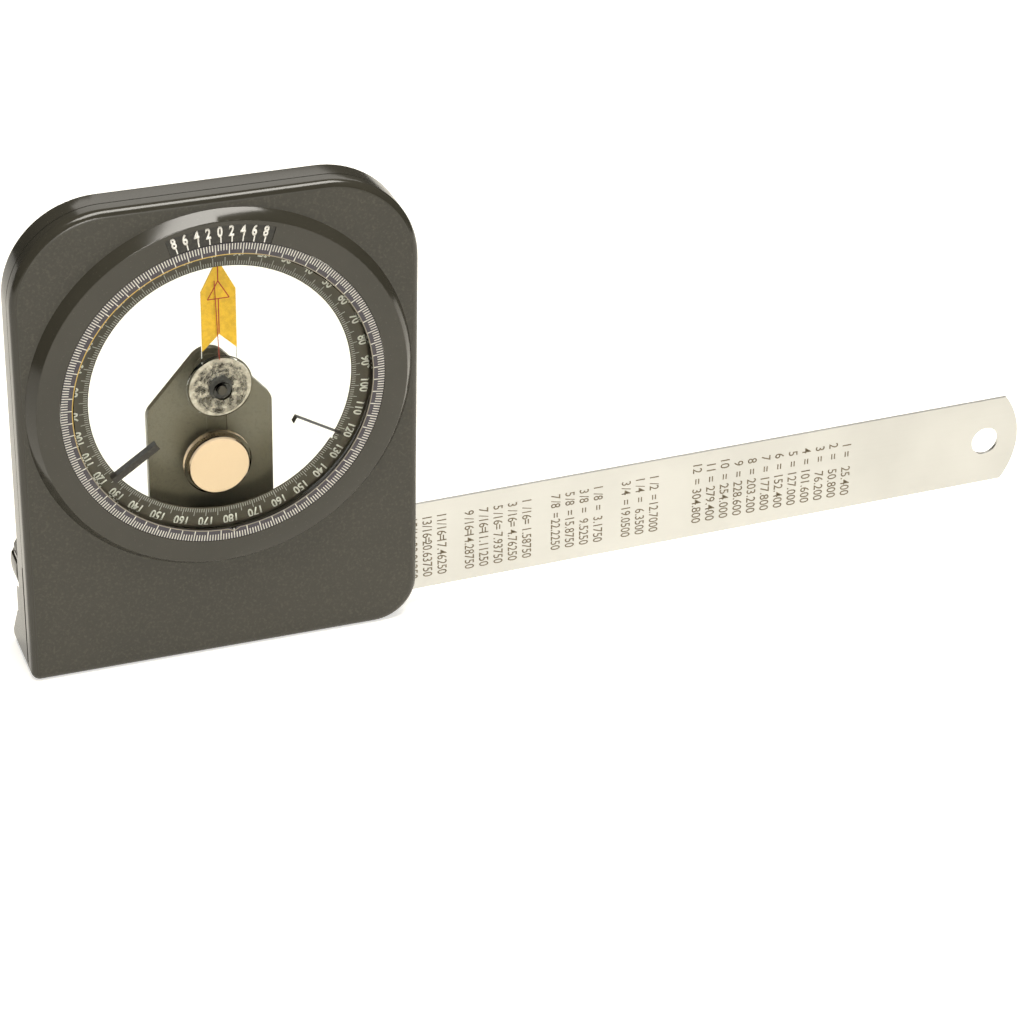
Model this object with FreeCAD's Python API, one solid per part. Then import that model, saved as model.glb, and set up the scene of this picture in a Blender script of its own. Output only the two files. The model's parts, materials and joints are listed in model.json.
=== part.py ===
"""Pendulum angle finder with a turning dial and a sliding steel ruler.

Frame: +X to the right of the dial, +Y towards the back, +Z up. The origin is the middle
of the flat base. The dial wheel, the pendulum and their axle share one axis along Y.
Places across the thickness are depths behind the front of the dial, turned into Y by y_at.
"""
import FreeCAD, Part
import math
import os

from FreeCAD import Vector

os.makedirs("parts", exist_ok=True)

Y_AXIS = Vector(0, 1, 0)
OVERRUN = 1.0                # how far a cutting tool runs past what it cuts

# Housing
wall = 2.2
lip_r = 2.4                  # rounded front edge
rear_edge_r = 1.2
top_corner_r = 28.0
base_left_corner_r = 2.6
base_right_corner_r = 13.5
base_floor = 3.7             # floor under the ruler's channel
front_shell_depth = 5.5      # from the face to the seam
bezel_side_margin = 2.4      # flat face left beside the bezel
bezel_top_margin = 3.6
rear_lip = 1.2               # lip that holds the rear window
foot_reach = 7.5             # how far the foot stands out behind the block
foot_edge_height = 4.2
foot_rise = 15.0             # where the foot's slope meets the block
rear_opening_inset = 1.3     # rear opening inside the rear window's edge
channel_web = 2.0            # between the ruler's channel and the dial's flange
tongue_height = 1.2
tongue_thickness = 1.0
tongue_gap = 0.1
parting_depth = 0.25         # groove round the seam
parting_half_width = 0.2

# Bezel, a raised ring on the face
bezel_rise = 3.5
bezel_slope = 2.4            # how far the cone spreads while it falls to the face
bezel_land = 2.6             # solid ring that takes the retaining ring's screws
bezel_round = 0.5
annulus_thickness = 2.0

# Dial wheel, a clear moulding
rim_r = 48.2
rim_gap = 0.15
flange_lip = 2.3
flange_thickness = 1.4
flange_gap = 0.1
flange_side_gap = 2.1
cup_wall = 3.9               # from the cup's bore to the rim
cup_back_wall = 1.7          # what the cup's wall keeps behind the flange
window_depth = 3.0
window_thickness = 1.6
hub_face_r = 6.5
hub_foot_r = 7.4
hub_rise = 0.8
hub_round = 0.35
hub_well_r = 2.7
hub_well_depth = 1.0
hub_running_gap = 0.05
grip_rib_length = 16.4
grip_rib_overlap = 1.5       # how far the rib runs under the printed ring
grip_rib_width = 2.05
grip_rib_rise = 2.4
grip_rib_angle = 122.4       # from the top, on both sides
dial_turn = -2.1             # how the dial stands in the housing

# Scales on the wheel
outer_ring_thickness = 0.4
outer_ring_width = 3.5
index_notch = 1.9
inner_ring_width = 7.0
inner_ring_thickness = 0.3
inner_ring_edge_gap = 0.2

# Vernier plate, let into the bezel
vernier_half_angle = 17.5
vernier_height = 5.3
vernier_pocket_depth = 0.7
vernier_thickness = 0.5
vernier_gap = 0.1

# Retaining ring behind the wheel, its leaf springs and screws
spring_space = 0.7
spring_thickness = 0.2
spring_length = 14.0
spring_width = 2.0
spring_clearance = 0.06
spring_count = 3
ring_flange_thickness = 1.5
ring_side_gap = 0.15
ring_flange_inset = 0.6
ring_bore_inset = 3.5        # ring's bore inside the flange's edge
ring_screw_count = 4
ring_screw_r = 0.9
ring_screw_head_r = 1.7
ring_screw_head_height = 0.9
ring_screw_length = 3.6

# Axle
axle_r = 1.5
axle_shoulder_r = 2.4
axle_front_below_hub = 0.4
axle_tail_past_nut = 0.6
axle_chamfer = 0.25
axle_washer_r = 3.5
axle_washer_thickness = 0.5
axle_nut_across_flats = 5.5
axle_nut_height = 2.2

# Pendulum
pendulum_gap = 0.5           # behind the wheel
rear_gap = 0.4               # in front of the rear window
pointer_thickness = 0.4
pointer_half_width = 5.15
pointer_length = 29.0
pointer_point_length = 10.0
pointer_notch_depth = 5.0
pointer_overlap = 2.1        # how far the tip runs behind the inner ring
arm_thickness = 1.4
arm_sheet_thickness = 0.6    # of the blade and the stem
arm_hub_r = 9.8
arm_hub_round = 0.5
arm_boss_r = 4.2             # round the bush, behind the hub
arm_stem_half_width = 3.0
weight_r = 9.3
weight_drop = 27.8           # weight's centre below the axle
weight_step = 1.6            # weight's face behind the arm
weight_thickness = 4.1
weight_chamfer = 0.4
weight_stand = 1.7           # weight's face before its ring
weight_ring_wall = 0.9
weight_ring_grip = 1.6
bush_r = 2.5
bush_flange_r = 3.6
bush_flange_thickness = 0.4
bush_running_gap = 0.03
bush_end_gap = 0.1

# Rear window and the bracket that carries the axle
rear_window_overlap = 0.1    # rear window's edge outside the wheel's rim
rear_window_thickness = 2.0
rear_window_gap = 0.1
bracket_gap = 2.5            # between the rear face and the bracket
bracket_thickness = 2.0
bracket_half_width = 19.0
bracket_foot_height = 16.0
bracket_shoulder_drop = 12.2
bracket_shoulder_round = 5.0
bracket_head_r = 6.3
bracket_boss_r = 4.6
bracket_boss_rise = 0.8
bracket_seat_gap = 0.15
bracket_screw_x = 13.0
bracket_screw_r = 1.4
bracket_screw_head_r = 2.7
bracket_screw_head_height = 1.6
bracket_screw_length = 7.0
bracket_screw_inset = 5.5

# Housing screws, driven from the back
shell_screw_r = 1.45
shell_screw_head_r = 2.7
shell_screw_head_height = 1.5
shell_screw_hole_gap = 0.05
shell_screw_sink = 0.4
shell_screw_bite = 5.2       # thread held in the front shell, from the seam
counterbore_r = 3.0
boss_r = 3.6
tube_r = 4.2
top_screw_side_inset = 12.0
top_screw_top_inset = 13.5
low_screw_side_inset = 5.2
low_screw_drop = 40.0        # below the dial's axis

# Ruler and its channel
ruler_length = 322.0
ruler_width = 30.0
ruler_thickness = 1.0
ruler_tail = 9.3              # left of the lock's centre, drawn out as pictured
ruler_tilt = 1.05             # the ruler lies a little high at its tip, inside its play
ruler_play = 0.3
ruler_face_gap = 0.06
ruler_back_gap = 0.1
ruler_end_rise = 5.0          # how far the rounded end stands out
ruler_corner_r = 1.2
ruler_hole_r = 4.7
ruler_hole_inset = 11.5
guide_rib_count = 5
guide_rib_width = 1.6

# Pockets that core out the block behind the ruler
core_count = 4
core_web = 2.4
core_start_x = 6.0           # right of the bracket's left edge
core_edge_margin = 5.0
core_depth_share = 0.45

# Ruler lock: knob, screw, brass nut and pad
knob_r = 14.0
knob_proud = 0.2             # past the side wall, where a thumb turns it
knob_depth = 8.9
knob_gap = 0.6
knob_side_gap = 0.8
knob_round = 1.0
knob_flute_count = 8
knob_flute_r = 2.2
knob_flute_depth = 0.6
knob_flute_start = 162.7     # first flute, in degrees from the +X side
knob_dish_r = 10.6
knob_dish_depth = 1.4
knob_hub_r = 4.6
lock_rise = 10.9             # screw above the ruler's centre line
lock_screw_r = 1.97
lock_screw_gap = 0.03
lock_screw_head_r = 3.4
lock_screw_head_height = 1.6
lock_screw_slot = 0.9
lock_nut_r = 3.1
lock_nut_length = 3.0
lock_pad_r = 3.0
lock_pad_side_gap = 0.2
lock_pad_thickness = 0.8
lock_pad_gap = 0.3           # to the ruler while the lock is open
lock_pad_room = 0.06

# Radii worked out from the wheel
opening_r = rim_r + rim_gap
inner_ring_outer_r = rim_r - cup_back_wall - inner_ring_edge_gap
inner_ring_inner_r = inner_ring_outer_r - inner_ring_width
grip_rib_outer_r = inner_ring_inner_r + grip_rib_overlap
grip_rib_inner_r = grip_rib_outer_r - grip_rib_length
pointer_tip_r = inner_ring_inner_r + pointer_overlap
pointer_shoulder_r = pointer_tip_r - pointer_point_length
pointer_tail_r = pointer_tip_r - pointer_length
pointer_notch_r = pointer_tail_r + pointer_notch_depth
flange_r = rim_r + flange_lip
cavity_r = flange_r + flange_side_gap
bezel_top_r = cavity_r + bezel_land
bezel_outer_r = bezel_top_r + bezel_slope
cup_r = rim_r - cup_wall
outer_ring_inner_r = rim_r - outer_ring_width
vernier_outer_r = opening_r + vernier_height + vernier_gap
rear_window_r = rim_r + rear_window_overlap
rear_opening_r = rear_window_r - rear_opening_inset

# Width and heights
body_width = 2 * (bezel_outer_r + bezel_side_margin)
half_width = body_width / 2
channel_height = ruler_width + body_width * math.tan(math.radians(ruler_tilt)) + 2 * ruler_play
channel_top = base_floor + channel_height
dial_height = channel_top + channel_web + flange_r
body_height = dial_height + bezel_outer_r + bezel_top_margin
ruler_middle = base_floor + channel_height / 2

# Depths behind the front of the dial
face_d = bezel_rise
plate_back_d = face_d + wall
seam_d = face_d + front_shell_depth
flange_front_d = annulus_thickness + flange_gap
flange_back_d = flange_front_d + flange_thickness
window_back_d = window_depth + window_thickness
wheel_back_d = window_back_d + inner_ring_thickness
hub_front_d = window_depth - hub_rise
pointer_front_d = wheel_back_d + pendulum_gap
arm_front_d = pointer_front_d + pointer_thickness
arm_back_d = arm_front_d + arm_thickness
weight_front_d = arm_back_d + weight_step
weight_back_d = weight_front_d + weight_thickness
weight_ring_front_d = weight_front_d + weight_stand
rear_window_front_d = weight_back_d + rear_gap
rear_window_back_d = rear_window_front_d + rear_window_thickness
upper_rear_d = rear_window_back_d + rear_lip
rear_plate_front_d = upper_rear_d - wall
bracket_front_d = upper_rear_d + bracket_gap
block_rear_d = bracket_front_d + bracket_thickness
foot_rear_d = block_rear_d + foot_reach
ruler_front_d = seam_d + ruler_face_gap
ruler_back_d = ruler_front_d + ruler_thickness
channel_back_d = ruler_back_d + ruler_back_gap
spring_seat_d = flange_back_d + spring_space
bush_front_d = arm_front_d - bush_flange_thickness
bush_back_d = weight_ring_front_d + arm_sheet_thickness
axle_shoulder_d = bush_back_d + bush_end_gap
nut_back_d = block_rear_d + axle_washer_thickness + axle_nut_height
lock_pad_front_d = ruler_back_d + lock_pad_gap
lock_pad_back_d = lock_pad_front_d + lock_pad_thickness
knob_front_d = upper_rear_d + knob_gap
knob_back_d = knob_front_d + knob_depth
dial_y = -(face_d + foot_rear_d) / 2

# The lock stands over the ruler near the left side
knob_x = -(half_width + knob_proud - knob_r)
knob_z = ruler_middle + knob_x * math.tan(math.radians(ruler_tilt)) + lock_rise
ruler_left = knob_x - ruler_tail
ruler_reach = ruler_left + ruler_length

shell_screw_places = []
for side in (-1, 1):
    shell_screw_places.append((side * (half_width - top_screw_side_inset),
                               body_height - top_screw_top_inset))
    shell_screw_places.append((side * (half_width - low_screw_side_inset),
                               dial_height - low_screw_drop))

bracket_screw_places = []
for side in (-1, 1):
    bracket_screw_places.append((side * bracket_screw_x, bracket_foot_height + bracket_screw_inset))
    bracket_screw_places.append((side * bracket_screw_x, channel_top - bracket_screw_inset))

ring_screw_circle_r = (cavity_r + bezel_outer_r) / 2
ring_screw_places = []
for index in range(ring_screw_count):
    turn = 2 * math.pi * (index + 0.5) / ring_screw_count
    ring_screw_places.append((ring_screw_circle_r * math.sin(turn),
                              dial_height + ring_screw_circle_r * math.cos(turn)))


def y_at(depth):
    """Y of a depth behind the front of the dial."""
    return dial_y + depth


def rod(radius, front, back, x=0.0, z=None):
    """A round bar along Y between two depths, on the dial's axis unless placed."""
    height = dial_height if z is None else z
    return Part.makeCylinder(radius, back - front, Vector(x, y_at(front), height), Y_AXIS)


def block(x0, x1, front, back, z0, z1):
    """A box between two depths."""
    return Part.makeBox(x1 - x0, back - front, z1 - z0, Vector(x0, y_at(front), z0))


def ring(outer, inner, front, back, x=0.0, z=None):
    return rod(outer, front, back, x, z).cut(rod(inner, front - OVERRUN, back + OVERRUN, x, z))


def turned(profile, x=0.0, z=None):
    """Revolve a closed profile of (radius, depth) points or arcs about an axis along Y.

    A corner given as (radius, depth, round) is rounded by an arc of that size.
    """
    height = dial_height if z is None else z
    face = Part.Face(rounded_wire(profile, lambda r, d: Vector(x + r, y_at(d), height)))
    return face.revolve(Vector(x, 0, height), Y_AXIS, 360)


def rounded_wire(corners, place):
    """A closed wire through corners (u, v) or (u, v, round) placed by a function."""
    count = len(corners)
    edges = []
    ends = []
    for i, corner in enumerate(corners):
        here = place(corner[0], corner[1])
        size = corner[2] if len(corner) > 2 else 0
        if not size:
            ends.append((here, here, None))
            continue
        before = place(*corners[i - 1][:2])
        after = place(*corners[(i + 1) % count][:2])
        to_before = (before - here).normalize()
        to_after = (after - here).normalize()
        half = to_before.getAngle(to_after) / 2
        reach = size / math.tan(half)
        middle = (to_before + to_after).normalize()
        centre = here + middle * (size / math.sin(half))
        ends.append((here + to_before * reach, here + to_after * reach, centre - middle * size))
    for i in range(count):
        start, stop, peak = ends[i]
        if peak is not None:
            edges.append(Part.Arc(start, peak, stop).toShape())
        following = ends[(i + 1) % count][0]
        if stop.distanceToPoint(following) > Part.Precision.confusion():
            edges.append(Part.makeLine(stop, following))
    return Part.Wire(edges)


def plate(corners, front, back):
    """A flat piece between two depths from corners (x, z) or (x, z, round)."""
    face = Part.Face(rounded_wire(corners, lambda x, z: Vector(x, y_at(front), z)))
    return face.extrude(Vector(0, back - front, 0))


def edges_at(shape, depth):
    """Edges that lie wholly at one depth."""
    found = []
    for edge in shape.Edges:
        box = edge.BoundBox
        if max(abs(box.YMin - y_at(depth)), abs(box.YMax - y_at(depth))) < Part.Precision.confusion() * 10:
            found.append(edge)
    return found


def housing_corners(inset, bottom=0.0, top=None):
    """The housing's outline seen from the front, drawn in by an inset."""
    side = half_width - inset
    upper = (body_height if top is None else top) - inset
    lower = bottom + inset
    return [(-side, lower, max(base_left_corner_r - inset, 0)),
            (side, lower, max(base_right_corner_r - inset, 0)),
            (side, upper, top_corner_r - inset),
            (-side, upper, top_corner_r - inset)]


def at_dial_angle(shape, degrees):
    """Turn a piece about the dial's axis, clockwise seen from the front."""
    return shape.rotate(Vector(0, 0, dial_height), Y_AXIS, degrees)


def on_ruler(shape):
    """Tilt a piece drawn along X to the line on which the ruler lies."""
    return shape.rotate(Vector(0, 0, ruler_middle), Y_AXIS, -ruler_tilt)


def fuse_all(first, others):
    return first.multiFuse(others).removeSplitter()


def make_bezel():
    return turned([(opening_r, 0),
                   (bezel_top_r, 0, bezel_round),
                   (bezel_outer_r, face_d),
                   (bezel_outer_r, plate_back_d),
                   (cavity_r, plate_back_d),
                   (cavity_r, annulus_thickness),
                   (opening_r, annulus_thickness)])


def make_vernier_sector(inner, outer, front, back, margin):
    """A sector of a flat ring, centred on the top of the dial."""
    half = vernier_half_angle + math.degrees(margin / vernier_outer_r)
    face = Part.Face(rounded_wire([(inner, front), (outer, front), (outer, back), (inner, back)],
                                  lambda r, d: Vector(0, y_at(d), dial_height + r)))
    sector = face.revolve(Vector(0, 0, dial_height), Y_AXIS, 2 * half)
    return at_dial_angle(sector, -half)


def make_guide_ribs():
    """Ribs inside the front shell that the ruler's face slides on."""
    ribs = []
    span = body_width - 2 * wall
    for index in range(guide_rib_count):
        x = -span / 2 + span * (index + 1) / (guide_rib_count + 1)
        ribs.append(block(x - guide_rib_width / 2, x + guide_rib_width / 2,
                          plate_back_d - wall / 2, seam_d, wall / 2, channel_top))
    for z in (base_floor + ruler_play + guide_rib_width, channel_top - guide_rib_width):
        ribs.append(block(-span / 2 - wall / 2, span / 2 + wall / 2, plate_back_d - wall / 2, seam_d,
                          z - guide_rib_width / 2, z + guide_rib_width / 2))
    seat = rod(bezel_outer_r, plate_back_d - wall, plate_back_d + ring_flange_thickness + ring_side_gap)
    return [rib.cut(seat) for rib in ribs]


def make_parting_groove():
    """Shallow groove all round, where the two shells meet."""
    band = plate(housing_corners(-OVERRUN), seam_d - parting_half_width, seam_d + parting_half_width)
    return band.cut(plate(housing_corners(parting_depth), seam_d - OVERRUN, seam_d + OVERRUN))


def make_front_shell():
    shell = plate(housing_corners(0), face_d, seam_d)
    shell = shell.makeFillet(lip_r, edges_at(shell, face_d))
    shell = shell.cut(plate(housing_corners(wall), plate_back_d, seam_d + OVERRUN))
    shell = shell.cut(rod((cavity_r + bezel_outer_r) / 2, -OVERRUN, seam_d))
    bosses = [rod(boss_r, plate_back_d - wall / 2, seam_d, x, z) for x, z in shell_screw_places]
    inside = plate(housing_corners(wall / 2), face_d, seam_d)
    kept = [piece.common(inside) for piece in bosses + make_guide_ribs()]
    shell = fuse_all(shell, [make_bezel()] + kept)
    cuts = [make_vernier_sector(rim_r - OVERRUN, vernier_outer_r, -OVERRUN, vernier_pocket_depth, 0),
            rod(opening_r, -OVERRUN, annulus_thickness + OVERRUN),
            make_parting_groove()]
    for x, z in shell_screw_places:
        cuts.append(rod(shell_screw_r, seam_d - shell_screw_bite, seam_d + OVERRUN, x, z))
    for x, z in ring_screw_places:
        cuts.append(rod(ring_screw_r, plate_back_d + ring_flange_thickness - ring_screw_length,
                        plate_back_d + OVERRUN, x, z))
    return shell.cut(Part.makeCompound(cuts))


def make_block_cores():
    """Pockets behind the ruler, so that the block has even walls."""
    start = bracket_screw_x + bracket_screw_head_r + core_start_x
    span = half_width - core_edge_margin - start
    pitch = (span + core_web) / core_count
    depth = (block_rear_d - channel_back_d) * core_depth_share
    cores = []
    for index in range(core_count):
        x = start + index * pitch
        cores.append(block(x, x + pitch - core_web, channel_back_d - OVERRUN, channel_back_d + depth,
                           base_floor + core_edge_margin, channel_top - core_edge_margin))
    return cores


def make_tongue():
    """Rim of the rear shell that locates it inside the front shell."""
    outside = plate(housing_corners(wall + tongue_gap), seam_d - tongue_height, seam_d + wall / 2)
    inside = plate(housing_corners(wall + tongue_gap + tongue_thickness),
                   seam_d - tongue_height - OVERRUN, seam_d + wall)
    low_screw_z = dial_height - low_screw_drop
    above = block(-body_width, body_width, -OVERRUN, block_rear_d, low_screw_z, body_height)
    tongue = outside.cut(inside).common(above)
    for x, z in shell_screw_places:
        tongue = tongue.cut(rod(boss_r + tongue_gap, seam_d - tongue_height - OVERRUN, seam_d, x, z))
    return tongue


def make_foot():
    """Foot along the base that slopes up to the block, so that the tool stands."""
    profile = rounded_wire([(block_rear_d - 2 * rear_edge_r, 0), (foot_rear_d, 0, rear_edge_r),
                            (foot_rear_d, foot_edge_height, rear_edge_r), (block_rear_d, foot_rise),
                            (block_rear_d - 2 * rear_edge_r, foot_rise)],
                           lambda d, z: Vector(-half_width - OVERRUN, y_at(d), z))
    bar = Part.Face(profile).extrude(Vector(body_width + 2 * OVERRUN, 0, 0))
    return bar.common(plate(housing_corners(0), seam_d, foot_rear_d + OVERRUN))


def make_rear_shell():
    upper = plate(housing_corners(0), seam_d, upper_rear_d)
    upper = upper.makeFillet(rear_edge_r, edges_at(upper, upper_rear_d))
    low_block = plate([(-half_width, 0, base_left_corner_r), (half_width, 0, base_right_corner_r),
                       (half_width, channel_top), (-half_width, channel_top)], seam_d, block_rear_d)
    low_block = low_block.makeFillet(rear_edge_r, edges_at(low_block, block_rear_d))
    shell = fuse_all(upper, [low_block, make_foot()])
    above = block(-body_width, body_width, -OVERRUN, block_rear_d, channel_top + channel_web, body_height)
    cavity = plate(housing_corners(wall), seam_d - OVERRUN, rear_plate_front_d).common(above)
    shell = shell.cut(cavity)
    tubes = [rod(tube_r, seam_d, upper_rear_d - wall / 2, x, z) for x, z in shell_screw_places]
    inside = plate(housing_corners(wall / 2), seam_d, upper_rear_d)
    shell = fuse_all(shell, [tube.common(inside) for tube in tubes] + [make_tongue()])
    seat_sides = bracket_half_width + bracket_seat_gap
    cuts = [rod(rear_opening_r, seam_d, upper_rear_d + OVERRUN),
            rod(rear_window_r + rear_window_gap, seam_d, rear_window_back_d),
            make_parting_groove(),
            block(-body_width, body_width, seam_d - OVERRUN, channel_back_d, base_floor, channel_top),
            block(-seat_sides, seat_sides, bracket_front_d, block_rear_d + OVERRUN,
                  bracket_foot_height - bracket_seat_gap, channel_top + OVERRUN),
            rod(knob_r + knob_side_gap, upper_rear_d, block_rear_d + OVERRUN, knob_x, knob_z),
            rod(lock_nut_r, upper_rear_d - lock_nut_length, upper_rear_d + OVERRUN, knob_x, knob_z),
            rod(lock_screw_r + lock_pad_side_gap, channel_back_d, upper_rear_d, knob_x, knob_z),
            rod(lock_pad_r + lock_pad_side_gap, channel_back_d - OVERRUN,
                lock_pad_back_d + lock_pad_room, knob_x, knob_z)]
    head_seat = upper_rear_d - shell_screw_sink - shell_screw_head_height
    for x, z in shell_screw_places:
        cuts.append(rod(shell_screw_r + shell_screw_hole_gap, seam_d - OVERRUN, upper_rear_d, x, z))
        cuts.append(rod(counterbore_r, head_seat, upper_rear_d + OVERRUN, x, z))
    for x, z in bracket_screw_places:
        cuts.append(rod(bracket_screw_r, block_rear_d - bracket_screw_length, block_rear_d, x, z))
    for cut in cuts + make_block_cores():
        shell = shell.cut(cut)
    return shell


def make_vernier_plate():
    return make_vernier_sector(opening_r, vernier_outer_r - vernier_gap,
                               vernier_pocket_depth - vernier_thickness, vernier_pocket_depth,
                               -vernier_gap)


def make_retaining_ring():
    bore = flange_r - ring_bore_inset
    shape = turned([(bore, spring_seat_d),
                    (cavity_r - ring_side_gap, spring_seat_d),
                    (cavity_r - ring_side_gap, plate_back_d),
                    (bezel_outer_r - ring_flange_inset, plate_back_d),
                    (bezel_outer_r - ring_flange_inset, plate_back_d + ring_flange_thickness),
                    (bore, plate_back_d + ring_flange_thickness)])
    for x, z in ring_screw_places:
        shape = shape.cut(rod(ring_screw_r, plate_back_d - OVERRUN,
                              plate_back_d + ring_flange_thickness + OVERRUN, x, z))
    return shape


def make_ring_screws():
    screws = []
    head_front = plate_back_d + ring_flange_thickness
    for x, z in ring_screw_places:
        shank = rod(ring_screw_r, head_front - ring_screw_length, head_front, x, z)
        head = turned([(0, head_front), (ring_screw_head_r, head_front),
                       (ring_screw_head_r, head_front + ring_screw_head_height, ring_screw_head_height / 2),
                       (0, head_front + ring_screw_head_height)], x, z)
        screws.append(shank.fuse(head).removeSplitter())
    return Part.makeCompound(screws)


def make_friction_springs():
    """Bowed leaves that press the wheel's flange forward."""
    middle_r = (flange_r + rim_r - flange_lip) / 2 + flange_lip / 2
    crest = flange_back_d + spring_clearance
    leaves = []
    for index in range(spring_count):
        half = spring_length / 2
        outer = Part.Arc(Vector(-half, y_at(spring_seat_d - spring_thickness), 0),
                         Vector(0, y_at(crest), 0),
                         Vector(half, y_at(spring_seat_d - spring_thickness), 0)).toShape()
        inner = Part.Arc(Vector(half, y_at(spring_seat_d), 0),
                         Vector(0, y_at(crest + spring_thickness), 0),
                         Vector(-half, y_at(spring_seat_d), 0)).toShape()
        ends = [Part.makeLine(outer.lastVertex().Point, inner.firstVertex().Point),
                Part.makeLine(inner.lastVertex().Point, outer.firstVertex().Point)]
        face = Part.Face(Part.Wire([outer, ends[0], inner, ends[1]]))
        leaf = face.extrude(Vector(0, 0, spring_width))
        leaf.translate(Vector(0, 0, dial_height + middle_r - spring_width / 2))
        leaves.append(at_dial_angle(leaf, 360 * (index + 0.5) / spring_count))
    return Part.makeCompound(leaves)


def make_rear_window():
    return ring(rear_window_r, axle_shoulder_r + rear_window_gap, rear_window_front_d, rear_window_back_d)


def make_bracket():
    """Upright plate behind the housing, with sloping shoulders and a round head."""
    shoulder_z = dial_height - bracket_shoulder_drop
    reach = math.hypot(bracket_half_width, bracket_shoulder_drop)
    lean = math.atan2(bracket_half_width, -bracket_shoulder_drop)
    open_angle = lean - math.acos(bracket_head_r / reach)
    touch_x = bracket_head_r * math.sin(open_angle)
    touch_z = dial_height + bracket_head_r * math.cos(open_angle)
    shape = plate([(-bracket_half_width, bracket_foot_height),
                   (bracket_half_width, bracket_foot_height),
                   (bracket_half_width, shoulder_z, bracket_shoulder_round),
                   (touch_x, touch_z), (-touch_x, touch_z),
                   (-bracket_half_width, shoulder_z, bracket_shoulder_round)],
                  bracket_front_d, block_rear_d)
    head = rod(bracket_head_r, bracket_front_d, block_rear_d)
    boss = rod(bracket_boss_r, bracket_front_d - bracket_boss_rise, block_rear_d)
    shape = fuse_all(shape, [head, boss])
    shape = shape.cut(rod(axle_r, bracket_front_d - bracket_boss_rise - OVERRUN, block_rear_d + OVERRUN))
    for x, z in bracket_screw_places:
        shape = shape.cut(rod(bracket_screw_r, bracket_front_d - OVERRUN, block_rear_d + OVERRUN, x, z))
    return shape


def pan_screw(x, z, radius, length, head_r, head_height, head_front):
    """A screw driven forward: its head's flat side is at head_front."""
    shank = rod(radius, head_front - length, head_front, x, z)
    head = turned([(0, head_front), (head_r, head_front),
                   (head_r, head_front + head_height, head_height / 2),
                   (0, head_front + head_height)], x, z)
    return shank.fuse(head).removeSplitter()


def make_bracket_screws():
    return Part.makeCompound([pan_screw(x, z, bracket_screw_r, bracket_screw_length, bracket_screw_head_r,
                                        bracket_screw_head_height, block_rear_d)
                              for x, z in bracket_screw_places])


def make_shell_screws():
    head_seat = upper_rear_d - shell_screw_sink - shell_screw_head_height
    length = head_seat - seam_d + shell_screw_bite
    return Part.makeCompound([pan_screw(x, z, shell_screw_r, length, shell_screw_head_r,
                                        shell_screw_head_height, head_seat)
                              for x, z in shell_screw_places])


def make_axle():
    """Stepped pin: thin nose in the hub and the bush, shoulder, thread through the bracket."""
    nose_d = hub_front_d + axle_front_below_hub
    tail_d = nut_back_d + axle_tail_past_nut
    return turned([(0, nose_d),
                   (axle_r - axle_chamfer, nose_d),
                   (axle_r, nose_d + axle_chamfer),
                   (axle_r, axle_shoulder_d),
                   (axle_shoulder_r, axle_shoulder_d),
                   (axle_shoulder_r, bracket_front_d - bracket_boss_rise),
                   (axle_r, bracket_front_d - bracket_boss_rise),
                   (axle_r, tail_d - axle_chamfer),
                   (axle_r - axle_chamfer, tail_d),
                   (0, tail_d)])


def make_axle_washer():
    return ring(axle_washer_r, axle_r, block_rear_d, block_rear_d + axle_washer_thickness)


def make_axle_nut():
    corner_r = axle_nut_across_flats / math.sqrt(3)
    corners = [(corner_r * math.cos(math.pi * k / 3), dial_height + corner_r * math.sin(math.pi * k / 3))
               for k in range(6)]
    return plate(corners, nut_back_d - axle_nut_height, nut_back_d).cut(
        rod(axle_r, block_rear_d, nut_back_d + OVERRUN))


def make_dial_wheel():
    """Clear cup with a rim, a flange behind the bezel, a hub and two grip ribs."""
    shape = turned([(axle_r + hub_running_gap, window_back_d),
                    (axle_r + hub_running_gap, hub_front_d + hub_well_depth),
                    (hub_well_r, hub_front_d + hub_well_depth),
                    (hub_well_r, hub_front_d),
                    (hub_face_r, hub_front_d, hub_round),
                    (hub_foot_r, window_depth),
                    (cup_r, window_depth),
                    (cup_r, outer_ring_thickness),
                    (rim_r, outer_ring_thickness),
                    (rim_r, flange_front_d),
                    (flange_r, flange_front_d),
                    (flange_r, flange_back_d),
                    (rim_r - cup_back_wall, flange_back_d),
                    (rim_r - cup_back_wall, window_back_d)])
    ribs = []
    for side in (-1, 1):
        rib = block(-grip_rib_width / 2, grip_rib_width / 2, window_depth - grip_rib_rise,
                    window_depth + window_thickness / 2,
                    dial_height + grip_rib_inner_r, dial_height + grip_rib_outer_r)
        ribs.append(at_dial_angle(rib, side * grip_rib_angle + dial_turn))
    return fuse_all(shape, ribs)


def make_outer_scale_ring():
    """Printed ring on the wheel's rim, with the index notch in its inner edge."""
    shape = ring(rim_r, outer_ring_inner_r, 0, outer_ring_thickness)
    notch = plate([(-index_notch, dial_height + outer_ring_inner_r - index_notch / 2),
                   (0, dial_height + outer_ring_inner_r + index_notch / 2),
                   (index_notch, dial_height + outer_ring_inner_r - index_notch / 2)],
                  -OVERRUN, outer_ring_thickness + OVERRUN)
    return shape.cut(at_dial_angle(notch, 180 + dial_turn))


def make_inner_dial_ring():
    return ring(inner_ring_outer_r, inner_ring_inner_r, window_back_d, wheel_back_d)


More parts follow.
